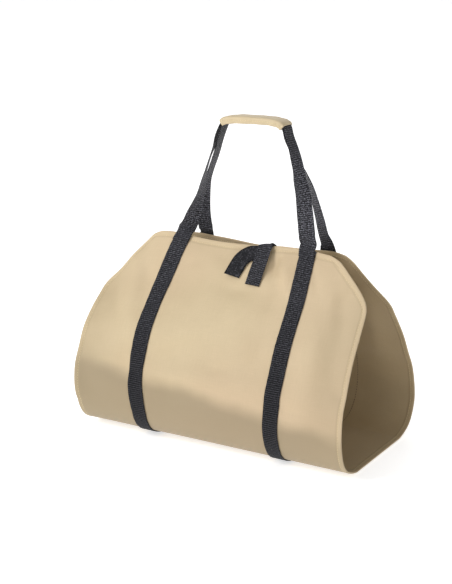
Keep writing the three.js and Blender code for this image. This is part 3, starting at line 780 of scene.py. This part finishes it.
def make_handle(name, node, panel, legs, right_flip, leans, material):
    """Loop from its left foot through the grip to its right one. panel is 1 at the back."""
    left, right = strap_middles
    layer = -panel * (webbing_thickness + handle_layer_gap) / 2
    in_grip = grip_points + grip_outward * layer
    left_middles, left_widths = leg_stations(legs[0], left, panel, in_grip[0], 1)
    right_middles, right_widths = leg_stations(legs[1], right, panel, in_grip[-1], right_flip)
    middles = left_middles + list(in_grip) + right_middles[::-1]
    widths = left_widths + [to_back] * len(in_grip) + right_widths[::-1]
    rings, metres = band_rings(middles, widths, webbing_width, webbing_thickness, rib_step)
    left_lap, left_metres = lap_rings(left, panel, 1, panel, leans[0])
    right_lap, right_metres = lap_rings(right, panel, right_flip, -panel * right_flip, leans[1])
    reach = metres[:, :1, 1:]
    at_left = 1 - smooth_step(reach, 0, foot_blend)
    rings = rings + (left_lap[-1] - rings[0]) * at_left
    at_right = 1 - smooth_step(reach[-1] - reach, 0, foot_blend)
    rings = rings + (right_lap[-1] - rings[-1]) * at_right
    rings = np.concatenate([left_lap[:-1], rings, right_lap[-2::-1]])
    metres = np.concatenate([left_metres[:-1], metres, right_metres[-2::-1]])
    points, faces = ring_solid(rings)
    add_piece(name, points, faces, metres.reshape(-1, 2), material, node)


# Grip cloth


def grip_section_points(share):
    """Middle line of the grip cloth's section at a share of the grip's length, and its normals."""
    places = []
    normals = []
    half_stack = np.array([webbing_width / 2, webbing_thickness + handle_layer_gap / 2])
    layer_step = grip_cloth_thickness + layer_gap
    shut = 1 - smooth_step(share, *grip_flap_shares)
    for turn, layer in grip_section:
        openness = grip_flap_lift * smooth_step(turn, *grip_flap_turns) * shut
        stand = grip_clearance + grip_cloth_thickness / 2 + layer * layer_step + openness
        normal = level(turn)[:2]
        places.append(np.sign(normal) * half_stack + normal * stand)
        normals.append(normal)
    fine = np.linspace(0, 1, grip_section_steps + 1)
    return spline(places, fine), unit(spline(normals, fine))


def grip_station(share):
    """At a share of the grip's length: its middle, the way out, and its section and normals."""
    outward = unit(spline(grip_outward, share))
    return spline(grip_points, share), outward, *grip_section_points(share)


def in_grip_space(flat, outward, middle=0):
    """Points of the grip from places on its section, or directions where no middle is given."""
    return middle + flat[..., :1] * to_back + flat[..., 1:] * outward


def make_grip(material):
    """Cloth wrapped round both loops, with its flap lapped over and a little open at the left."""
    outer = []
    inner = []
    metres = []
    for i in range(grip_steps + 1):
        share = i / grip_steps
        middle, outward, place, normal = grip_station(share)
        reach = lengths_along(place)
        end = min(share, 1 - share) * grip_length
        seam = grip_seam_depth * hump(end, grip_seam_inset, grip_seam_width)
        ripple = np.sin(share * 44 + np.sin(reach / (9 * MM)) * 2)
        wrinkle = grip_wrinkle * ripple * smooth_step(end, 0, grip_wrinkle_start)
        rounded = 0.4 * grip_cloth_thickness * (1 - smooth_step(end, 0, grip_end_rounding))
        half = grip_cloth_thickness / 2 - rounded
        for skin, stand in ((outer, half - seam + wrinkle), (inner, -half + wrinkle)):
            flat = place + normal * np.reshape(stand, (-1, 1))
            skin.append(in_grip_space(flat, outward, middle))
        metres.append(place_pairs(share * grip_length, reach))
    points, faces = sheet_solid(np.array(outer), np.array(inner))
    places = np.tile(np.array(metres).reshape(-1, 2), (2, 1))
    wrap = add_piece("grip_cloth", points, faces, places, material, "grip_wrap")


# Closure tabs


tab_ring, tab_stand = webbing_ring(tab_width, tab_thickness)


def slant_end(rings, slant, balance):
    """Cut a tab's end askew by slant. balance is the share of its width that stays in place."""
    count = 8
    way = unit(rings[-2] - rings[-1])
    share = tab_ring[:, None] / tab_width + 0.5 - balance
    for k in range(1, count):
        rings[-k] += way * share * slant * (count - k) / (count - 1)


def fold_end(rings, distances, swell):
    """Thicken the end of a tab, where its tape is turned under and sewn."""
    half = rings.shape[1] // 2
    outward = unit(rings[:, 1:half].mean(1) - rings[:, half + 1:].mean(1))[:, None]
    side = np.sign(tab_stand)[:, None]
    near_end = 1 - smooth_step(distances[-1] - distances, tab_end_fold - 1 * MM, tab_end_fold)
    rings += outward * side * (near_end * swell)[:, None, None]


def add_tab(name, rings, metres, material, node):
    points, faces = ring_solid(rings)
    add_piece(name, points, faces, metres.reshape(-1, 2), material, node)


def make_front_tab(material):
    """Tab from the back edge over the front one, cupped over it, with its end turned under."""
    middles = []
    widths = []
    for panel, down, across, lift, tilt in front_tab_way:
        reach = down * front_tab_length
        along = panel * (half_girth - max(reach, 0))
        middle = off_cloth(tab_off_centre + across * tab_width, along, lift * tab_thickness)
        middles.append(middle + np.array([0, 0, max(-reach, 0)]))
        widths.append(np.array([1, 0, tilt]))
    rings, metres = band_rings(middles, widths, tab_width, tab_thickness, tab_step)
    distances = metres[:, 0, 1]
    top = distances[np.argmax(rings[:, :, 2].mean(1))]
    cupped = hump(distances, top, tab_cupping_width)[:, None]
    rings[..., 2] -= tab_cupping * cupped * (tab_ring / (tab_width / 2)) ** 2
    slant_end(rings, front_tab_slant, 0)
    fold_end(rings, distances, tab_end_swell)
    add_tab("front_tab_tape", rings, metres, material, "closure_tab_front")


def make_curled_tab(material):
    """Tab that lies on the front panel and curls down to the left."""
    places = np.array([
        (tab_off_centre + across * curled_tab_length, -half_girth + down * curled_tab_length)
        for across, down, lift, lean in curled_tab_way
    ])
    middles = []
    widths = []
    for i, (across, down, lift, lean) in enumerate(curled_tab_way):
        heading = unit(places[min(i + 1, len(places) - 1)] - places[max(i - 1, 0)])
        sideways = np.array([-heading[1], heading[0]]) * tab_width / 2
        stand = seat_gap + lift * tab_thickness
        high, low = (
            off_cloth(*(places[i] + half * sideways), stand + half * lean * MM)
            for half in (1, -1)
        )
        widths.append(high - low)
        middles.append(off_cloth(*places[i], stand + tab_thickness / 2))
    rings, metres = band_rings(middles, widths, tab_width, tab_thickness, tab_step, has_ribs=False)
    slant_end(rings, curled_tab_slant, 0.5)
    add_tab("curled_tab_tape", rings, metres, material, "closure_tab_curled")


# Stitching


# Rings of a stitch: width and lift as shares of the thread's radius.
stitch_rings = [(0.45, -0.3), (1, 0.55), (1, 0.55), (0.45, -0.3)]
stitch_sides = 6


def stitch_solid(starts, ends, outward):
    """Points and faces of thread stitches, each a short round arch from a start to an end."""
    rings = len(stitch_rings)
    way = unit(ends - starts)
    outward = unit(outward - way * np.sum(outward * way, axis=1, keepdims=True))
    beside = np.cross(way, outward)
    turn = (np.arange(stitch_sides) * 2 * math.pi / stitch_sides)[None, :, None]
    circle = outward[:, None] * np.cos(turn) + beside[:, None] * np.sin(turn)
    points = []
    for k, (swell, lift) in enumerate(stitch_rings):
        share = k / (rings - 1)
        centre = starts + (ends - starts) * share + outward * (lift * thread_radius)
        points.append(centre[:, None] + circle * thread_radius * swell)
    points = np.stack(points, axis=1)
    count = len(starts)
    index = np.arange(count * rings * stitch_sides).reshape(count, rings, stitch_sides)
    ahead = np.roll(index, -1, axis=2)
    corners = [index[:, :-1], index[:, 1:], ahead[:, 1:], ahead[:, :-1]]
    quads = np.stack(corners, axis=-1).reshape(-1, 4)
    caps = np.concatenate([index[:, 0], index[:, -1, ::-1]])
    return points.reshape(-1, 3), quads[:, ::-1].tolist() + caps[:, ::-1].tolist()


def line_at(reach, values, distances):
    """Values of a line, with one row for each of its points, at distances along it."""
    return np.stack([np.interp(distances, reach, column) for column in values.T], axis=1)


def add_stitching(name, lines, slot, material):
    """Stitches along lines. A line is its points and the direction out of the cloth at each."""
    starts = []
    ends = []
    outwards = []
    for points, outward in lines:
        reach = lengths_along(points)
        count = max(int(reach[-1] / stitch_pitch), 1)
        first = (np.arange(count) + 0.5) * reach[-1] / count - stitch_length / 2
        starts.append(line_at(reach, points, first))
        ends.append(line_at(reach, points, first + stitch_length))
        outwards.append(line_at(reach, outward, first))
    points, faces = stitch_solid(np.vstack(starts), np.vstack(ends), np.vstack(outwards))
    add_piece(name, points, faces, np.zeros((len(points), 2)), material)


def line_on_cloth(across, along, stand, inside=False):
    """Line of points on the cloth's outside, or its inside, for stitches."""
    points = off_cloth(across, along, stand)
    outward = normals_of(cloth_point, across, along)
    return points, -outward if inside else outward


def hem_lines(stand, inside):
    """Seam round the whole sheet, in from its edge."""
    reach = half_girth - hem_stitch_inset
    along = np.arange(-reach, reach, seam_step)
    width = half_width_at(along) - hem_stitch_inset * edge_stretch(along)
    lines = [line_on_cloth(side * width, along, stand, inside) for side in (-1, 1)]
    for panel in (-1, 1):
        across = np.arange(-width[0], width[0], seam_step)
        lines.append(line_on_cloth(across, np.full(len(across), panel * reach), stand, inside))
    return lines


def strap_lines(stand, inside):
    """Two seams along each strap, pressed in under the base so that they stay off the floor."""
    along = np.arange(-half_girth + seam_step, half_girth - seam_step, seam_step)
    inset = webbing_width / 2 - strap_seam_inset
    under = 1 - smooth_step(np.abs(along) / half_girth, base_end, wall_start)
    stand = stand - base_pressed * under
    return [
        line_on_cloth(np.full(len(along), middle + side * inset), along, stand, inside)
        for middle in strap_middles
        for side in (-1, 1)
    ]


def box_lines(stand):
    """Crossed box of stitches on each handle foot."""
    low = half_girth - handle_lap + box_inset_low
    high = half_girth - box_inset_high
    half = webbing_width / 2 - box_inset_across
    corners = [(-half, low), (half, low), (-half, high), (half, high), (-half, low)]
    lines = []
    for middle in strap_middles:
        for panel in (-1, 1):
            for (a, b), (c, d) in zip(corners, corners[1:]):
                across = np.linspace(middle + a, middle + c, 16)
                along = panel * np.linspace(b, d, 16)
                lines.append(line_on_cloth(across, along, stand))
    return lines


def grip_lines():
    """Seams of the grip cloth: one near each end and one along the lapped edge."""
    lines = []
    for end in (grip_seam_inset, grip_length - grip_seam_inset):
        middle, outward, place, normal = grip_station(end / grip_length)
        rim = place + normal * (grip_cloth_thickness / 2 - 0.1 * MM)
        lines.append((in_grip_space(rim, outward, middle), in_grip_space(normal, outward)))
    edge = []
    away = []
    for share in np.linspace(0.05, 0.95, 40):
        middle, outward, place, normal = grip_station(share)
        spot = place[grip_lap_row] + normal[grip_lap_row] * (grip_cloth_thickness / 2)
        edge.append(in_grip_space(spot, outward, middle))
        away.append(in_grip_space(normal[grip_lap_row], outward))
    lines.append((np.array(edge), np.array(away)))
    return lines


# Shader maths


def joined(operation, swapped=False):
    """Method of Shade that joins it and another value by one operation."""
    def method(self, other):
        first, second = (other, self) if swapped else (self, other)
        return self.maths(operation, first, second)
    return method


class Shade:
    """A socket of a material, so that shader maths is written as Python expressions."""

    def __init__(self, finish, socket):
        self.finish = finish
        self.socket = socket

    def maths(self, operation, *values):
        sockets = dict(zip(("Value", "Value_001"), values))
        return self.finish.node("ShaderNodeMath", {"operation": operation}, sockets)

    __add__ = joined("ADD")
    __radd__ = joined("ADD", swapped=True)
    __sub__ = joined("SUBTRACT")
    __rsub__ = joined("SUBTRACT", swapped=True)
    __mul__ = joined("MULTIPLY")
    __rmul__ = joined("MULTIPLY", swapped=True)
    __truediv__ = joined("DIVIDE")
    least = joined("MINIMUM")

    def __abs__(self):
        return self.maths("ABSOLUTE", self)

    def sine(self):
        return self.maths("SINE", self)

    def floor(self):
        return self.maths("FLOOR", self)

    def odd(self):
        """1 where the whole number is odd and 0 where it is even."""
        return self.maths("FLOORED_MODULO", self, 2.0)

    def between(self, low, high):
        """0 below low, 1 above high and smooth between them."""
        sockets = {"Value": self, "From Min": low, "From Max": high}
        return self.finish.node("ShaderNodeMapRange", {"interpolation_type": "SMOOTHSTEP"}, sockets)


class Finish:
    """One material, with its Principled shader and the places on its cloth in metres."""

    def __init__(self, name, **constants):
        self.material = bpy.data.materials.new(name)
        self.material.use_nodes = True
        self.tree = self.material.node_tree
        self.shader = self.tree.nodes["Principled BSDF"]
        for socket, value in constants.items():
            self.shader.inputs[socket.replace("_", " ")].default_value = value

    def node(self, kind, settings, sockets, output=0):
        made = self.tree.nodes.new(kind)
        for name, value in settings.items():
            setattr(made, name, value)
        for name, value in sockets.items():
            target = next(
                socket for socket in made.inputs
                if socket.identifier == name or socket.name == name and socket.enabled
            )
            self.feed(target, value)
        return Shade(self, made.outputs[output])

    def feed(self, target, value):
        if isinstance(value, Shade):
            self.tree.links.new(value.socket, target)
        else:
            target.default_value = value

    def cloth_places(self):
        uv = self.node("ShaderNodeUVMap", {"uv_map": "cloth_metres"}, {})
        return tuple(self.node("ShaderNodeSeparateXYZ", {}, {"Vector": uv}, k) for k in (0, 1))

    def point(self, x, y):
        return self.node("ShaderNodeCombineXYZ", {}, {"X": x, "Y": y, "Z": 0.0})

    def position(self):
        return self.node("ShaderNodeTexCoord", {}, {}, 3)

    def noise(self, place, scale, detail, roughness):
        sockets = {"Vector": place, "Scale": scale, "Detail": detail, "Roughness": roughness}
        return self.node("ShaderNodeTexNoise", {}, sockets)

    def mix(self, factor, first, second):
        sockets = {"Factor_Float": factor, "A_Color": first, "B_Color": second}
        return self.node("ShaderNodeMix", {"data_type": "RGBA"}, sockets, 2)

    def bump(self, height, distance, strength):
        sockets = {"Height": height, "Distance": distance, "Strength": strength}
        return self.node("ShaderNodeBump", {}, sockets)

    def paint(self, **sockets):
        for name, value in sockets.items():
            self.feed(self.shader.inputs[name.replace("_", " ")], value)
        return self.material


def colour(red, green, blue):
    """Linear colour from the shares of 255 that a screen shows."""
    shares = [value / 255 for value in (red, green, blue)]
    linear = [s / 12.92 if s <= 0.04045 else ((s + 0.055) / 1.055) ** 2.4 for s in shares]
    return (*linear, 1.0)


def plain_weave(across, along, yarn):
    """Height from 0 to 1 of a plain weave, and which places show the crossing yarn."""
    a = across / yarn
    b = along / yarn
    over = (a.floor() + b.floor()).odd()
    warp = abs((a * math.pi).sine())
    weft = abs((b * math.pi).sine())
    shown_warp = over * warp * (0.55 + 0.45 * weft)
    shown_weft = (1 - over) * weft * (0.55 + 0.45 * warp)
    return shown_warp + shown_weft, over


def scaled(tone, share):
    """Darker shade of a colour, or a lighter one for a share above 1."""
    return (*(c * share for c in tone[:3]), 1.0)


def hem_inset(across, along):
    """Distance in from the sheet's edge, its cut corners as well."""
    from_side = half_length - abs(across)
    from_top = half_girth - abs(along)
    cut_length = math.hypot(corner_cut_across, corner_cut_down)
    corner = corner_cut_across * corner_cut_down
    weighed = from_side * corner_cut_down + from_top * corner_cut_across
    from_cut = (weighed - corner) / cut_length
    return from_side.least(from_top).least(from_cut)


# Places of the sheet given painted shade, and where each of them fades out
belly_shade_line = (0.42 * half_girth, 0.485 * half_girth)
belly_shade_slope = 0.12
belly_shade_wave = 34 * MM
left_shade_across = (-0.98 * half_length, -0.5 * half_length)
left_shade_along = (0.4 * half_girth, 0.66 * half_girth)
ends_shade = (0.55 * half_length, 0.95 * half_length)


def painted_shade_masks(finish, across, along):
    """Masks of painted shade: under the belly below a wavy line, and at the lower left end."""
    wave = finish.noise(finish.position(), 11.0, 2.0, 0.5) - 0.5
    height = abs(along) + across * belly_shade_slope + wave * belly_shade_wave
    belly_shade = 1 - height.between(*belly_shade_line)
    left = 1 - across.between(*left_shade_across)
    low = 1 - abs(along).between(*left_shade_along)
    return belly_shade, left * low


def coated_cloth(name, light, deep, warm, sheet=False, painted_shade_amount=1.0):
    """Coated tan polyester in a plain weave, with slubs, soft blotches, painted shade and a painted
    highlight on the hem fold.
    """
    finish = Finish(name, Sheen_Weight=0.1, Sheen_Roughness=0.4, Specular_IOR_Level=0.38)
    across, along = finish.cloth_places()
    height, over = plain_weave(across, along, cloth_yarn)
    blotches = finish.noise(finish.position(), 7.0, 3.0, 0.55)
    warmth = finish.noise(finish.position(), 3.1, 1.5, 0.5)
    warp_slubs = finish.noise(finish.point(across * 900, along * 45), 1.0, 2.0, 0.6)
    weft_slubs = finish.noise(finish.point(across * 45, along * 900), 1.0, 2.0, 0.6)
    slubs = (over * warp_slubs + (1 - over) * weft_slubs).between(0.3, 0.72)
    tone = finish.mix(blotches.between(0.3, 0.7), light, deep)
    tone = finish.mix(warmth.between(0.38, 0.66) * 0.7, tone, warm)
    tone = finish.mix((1 - slubs) * 0.22, tone, scaled(deep, 0.72))
    # Painted shade in the weave's hollows between the yarns.
    tone = finish.mix((1 - height) * 0.2, tone, scaled(deep, 0.6))
    roughness = 0.5 + 0.16 * blotches + 0.08 * (1 - height)
    coarse = finish.noise(finish.position(), 42.0, 3.0, 0.6)
    relief = height * 0.09 + slubs * 0.05 + coarse * 0.35
    if sheet:
        # Painted shade: darker under the belly, at the lower left end and towards both ends, where
        # the cloth turns away from the light.
        belly_shade, end = painted_shade_masks(finish, across, along)
        tone = finish.mix(belly_shade * (0.75 * painted_shade_amount), tone, scaled(deep, 0.48))
        tone = finish.mix(end * (0.6 * painted_shade_amount), tone, scaled(deep, 0.5))
        ends = abs(across).between(*ends_shade)
        tone = finish.mix(ends * (0.3 * painted_shade_amount), tone, scaled(deep, 0.66))
        # Painted highlight on the rounded hem fold, and painted shade along the hem's inner edge
        # where the doubled hem steps down.
        inset = hem_inset(across, along)
        hem_fold_highlight = 1 - inset.between(hem_width - 1.5 * MM, hem_width)
        seam = (1 - abs(inset - (hem_width + 0.8 * MM)).between(0.0, 2.4 * MM)) * 0.28
        tone = finish.mix(hem_fold_highlight * 0.2, tone, scaled(light, 1.08))
        tone = finish.mix(seam, tone, scaled(deep, 0.66))
    normal = finish.bump(relief, 0.6 * MM, 0.55)
    return finish.paint(Base_Color=tone, Roughness=roughness, Normal=normal)


def ribbed_webbing(name, light, deep):
    """Black woven webbing: cross ribs of twisted yarns with painted glints, and painted shade in
    the grooves.
    """
    finish = Finish(name, Sheen_Weight=0.0, Specular_IOR_Level=0.12)
    across, along = finish.cloth_places()
    rib = abs((along * (math.pi / rib_pitch)).sine())
    sway = (along * (2 * math.pi / rib_pitch)).sine() * 0.9
    yarn = abs((across * (math.pi / webbing_yarn) + sway).sine())
    twist = abs(((across + along * 1.6) * (math.pi / yarn_twist)).sine())
    fuzz = finish.noise(finish.position(), 900.0, 3.0, 0.7)
    painted_glints = finish.noise(finish.point(across * 380, along * 560), 1.0, 2.0, 0.7)
    dust_and_sheen = finish.noise(finish.position(), 34.0, 4.0, 0.6)
    rise = finish.node("ShaderNodeSeparateXYZ", {}, {"Vector": finish.position()}, 2)
    # Painted highlight: glints and light flecks grow with height and peak partway up the handle
    # legs, where the key light catches the webbing.
    leg_highlight_band = rise.between(0.3, 0.36) * (1 - rise.between(0.42, 0.47))
    painted_highlight_by_height = 0.1 + 0.35 * rise.between(0.07, 0.3) + 0.8 * leg_highlight_band
    raised = rib * (0.45 + 0.35 * yarn + 0.2 * twist)
    # Painted shade in the ribs' grooves: the rib tops are lighter, as if lit.
    tone = finish.mix(raised.between(0.3, 0.95), deep, light)
    # Painted glints on the rib tops, then light dust flecks that also carry painted sheen.
    tone = finish.mix(painted_glints.between(0.46, 0.6) * rib * painted_highlight_by_height, tone, scaled(light, 7.5))
    tone = finish.mix(dust_and_sheen.between(0.4, 0.7) * painted_highlight_by_height * 0.4, tone, scaled(light, 2.4))
    roughness = 0.6 - 0.2 * raised + 0.1 * fuzz - 0.14 * painted_glints.between(0.5, 0.7)
    relief = raised * 0.9 + fuzz * 0.3 + painted_glints * 0.35
    normal = finish.bump(relief, 0.8 * MM, 0.9)
    return finish.paint(Base_Color=tone, Roughness=roughness, Normal=normal)


def looped_tape(name, light, deep):
    """Soft side of a black closure tape, a mat of fine loops."""
    finish = Finish(name, Sheen_Weight=0.0, Specular_IOR_Level=0.15)
    across, along = finish.cloth_places()
    loops = finish.noise(finish.point(across * 1500, along * 1500), 1.0, 4.0, 0.75)
    mat = finish.noise(finish.position(), 120.0, 3.0, 0.6)
    selvage = abs(across).between(*tape_selvage)
    raised = loops * (1 - 0.7 * selvage)
    tone = finish.mix(raised.between(0.35, 0.7), deep, light)
    tone = finish.mix(mat.between(0.5, 0.75) * 0.5, tone, scaled(light, 2.6))
    tufts = finish.noise(finish.position(), 520.0, 2.0, 0.7)
    tone = finish.mix(tufts.between(0.54, 0.68) * 0.6, tone, scaled(light, 3.6))
    relief = raised + mat * 0.5 + tufts * 0.6
    normal = finish.bump(relief, 0.6 * MM, 0.8)
    return finish.paint(Base_Color=tone, Roughness=0.85 - 0.15 * raised, Normal=normal)


def sewing_thread(name, light, deep):
    finish = Finish(name, Specular_IOR_Level=0.4)
    strands = abs((finish.noise(finish.position(), 1400.0, 2.0, 0.5) * 9.0).sine())
    tone = finish.mix(strands, deep, light)
    normal = finish.bump(strands, 0.15 * MM, 0.5)
    return finish.paint(Base_Color=tone, Roughness=0.5 + 0.2 * strands, Normal=normal)


# Room

floor_glow = 0.62
floor_radius = 20.0
floor_corners = 48
wall_height = 5.0
world_strength = 0.36

# Softboxes: name, place, side and power
softboxes = [
    ("key", (-1.45, -2.05, 1.8), 0.9, 42),
    ("top", (-0.2, -0.5, 2.6), 1.6, 13),
    ("fill", (-0.9, 2.3, 1.6), 1.4, 9),
]
softbox_target = Vector((0, 0, 0.2))


def make_floor():
    """Round pale floor with a low pale wall far round it."""
    finish = Finish(
        "pale_floor",
        Roughness=0.6,
        Specular_IOR_Level=0.2,
        Emission_Strength=floor_glow,
        Emission_Color=(1, 1, 1, 1),
    )
    speckle = finish.noise(finish.position(), 2.0, 2.0, 0.5)
    tone = finish.mix(speckle * 0.2, colour(236, 236, 236), colour(232, 232, 232))
    finish.paint(Base_Color=tone)
    count = floor_corners
    points = [
        (*(floor_radius * level(360 * k / count)[:2]), height)
        for height in (0, wall_height) for k in range(count)
    ]
    faces = [tuple(range(count))]
    faces += [(k, (k + 1) % count, (k + 1) % count + count, k + count) for k in range(count)]
    mesh = bpy.data.meshes.new("floor")
    mesh.from_pydata(points, [], faces)
    mesh.materials.append(finish.material)
    add_object("floor", mesh)


def add_softbox(name, place, side, power):
    data = bpy.data.lights.new(name, "AREA")
    data.shape = "RECTANGLE"
    data.size = side
    data.size_y = side
    data.energy = power
    aim(add_object(name, data), place, softbox_target - Vector(place))


def light_room():
    scene = bpy.context.scene
    scene.view_settings.view_transform = "Standard"
    world = bpy.data.worlds.new("studio")
    world.use_nodes = True
    background = world.node_tree.nodes["Background"]
    background.inputs["Color"].default_value = (1, 1, 1, 1)
    background.inputs["Strength"].default_value = world_strength
    scene.world = world
    for row in softboxes:
        add_softbox(*row)


# Finishes and pieces

tan_light = colour(204, 185, 150)
tan_deep = colour(195, 175, 140)
tan_warm = colour(203, 178, 148)
grip_light = colour(200, 185, 156)
# Darker tan for the inner skin: painted shade, as the inside lies in shadow between the panels.
shaded_inside_light = colour(186, 166, 132)
shaded_inside_deep = colour(174, 154, 120)
black_light = colour(50, 50, 54)
black_deep = colour(5, 5, 7)

cloth_finish = coated_cloth("tan_coated_cloth", tan_light, tan_deep, tan_warm, sheet=True)
# Inner skin: a shaded copy of the cloth, with a fifth of the sheet's painted shade.
shaded_inside_finish = coated_cloth(
    "tan_cloth_inside_painted_shade", shaded_inside_light, shaded_inside_deep, shaded_inside_light, sheet=True, painted_shade_amount=0.2
)
grip_finish = coated_cloth("tan_grip_cloth", grip_light, tan_light, tan_warm)
webbing_finish = ribbed_webbing("black_ribbed_webbing", black_light, black_deep)
hook_finish = ribbed_webbing("black_hook_tape", black_light, black_deep)
loop_finish = looped_tape("black_loop_tape", black_light, black_deep)
tan_thread = sewing_thread("tan_thread", colour(222, 206, 164), colour(178, 160, 120))
black_thread = sewing_thread("black_thread", colour(58, 58, 64), colour(20, 20, 22))

make_cloth(cloth_finish, shaded_inside_finish)
make_strap("left_strap_webbing", "strap_left", strap_middles[0], webbing_finish)
make_strap("right_strap_webbing", "strap_right", strap_middles[1], webbing_finish)
front_legs = (front_left_leg, front_right_leg)
back_legs = (back_left_leg, back_right_leg)
make_handle(
    "front_handle_webbing", "handle_front", -1, front_legs, 1, front_leans, webbing_finish
)
make_handle("back_handle_webbing", "handle_back", 1, back_legs, -1, back_leans, webbing_finish)
make_grip(grip_finish)
make_front_tab(hook_finish)
make_curled_tab(loop_finish)

# How far off the cloth's outside the threads of each seam lie
hem_outside = -0.25 * MM
hem_inside = -hem_thickness + 0.2 * MM
strap_face = seat_gap + webbing_thickness - 0.1 * MM
strap_inside = -cloth_thickness + 0.05 * MM
lap_face = strap_face + webbing_thickness + handle_lap_gap

seams = [
    ("hem_stitches_outside", hem_lines(hem_outside, False), "sheet_cloth", tan_thread),
    ("hem_stitches_inside", hem_lines(hem_inside, True), "sheet_cloth", tan_thread),
    ("strap_stitches_outside", strap_lines(strap_face, False), "webbing", black_thread),
    ("strap_stitches_inside", strap_lines(strap_inside, True), "webbing", black_thread),
    ("handle_foot_stitches", box_lines(lap_face), "webbing", black_thread),
    ("grip_stitches", grip_lines(), "grip_cloth", tan_thread),
]
for seam in seams:
    add_stitching(*seam)

make_floor()
light_room()
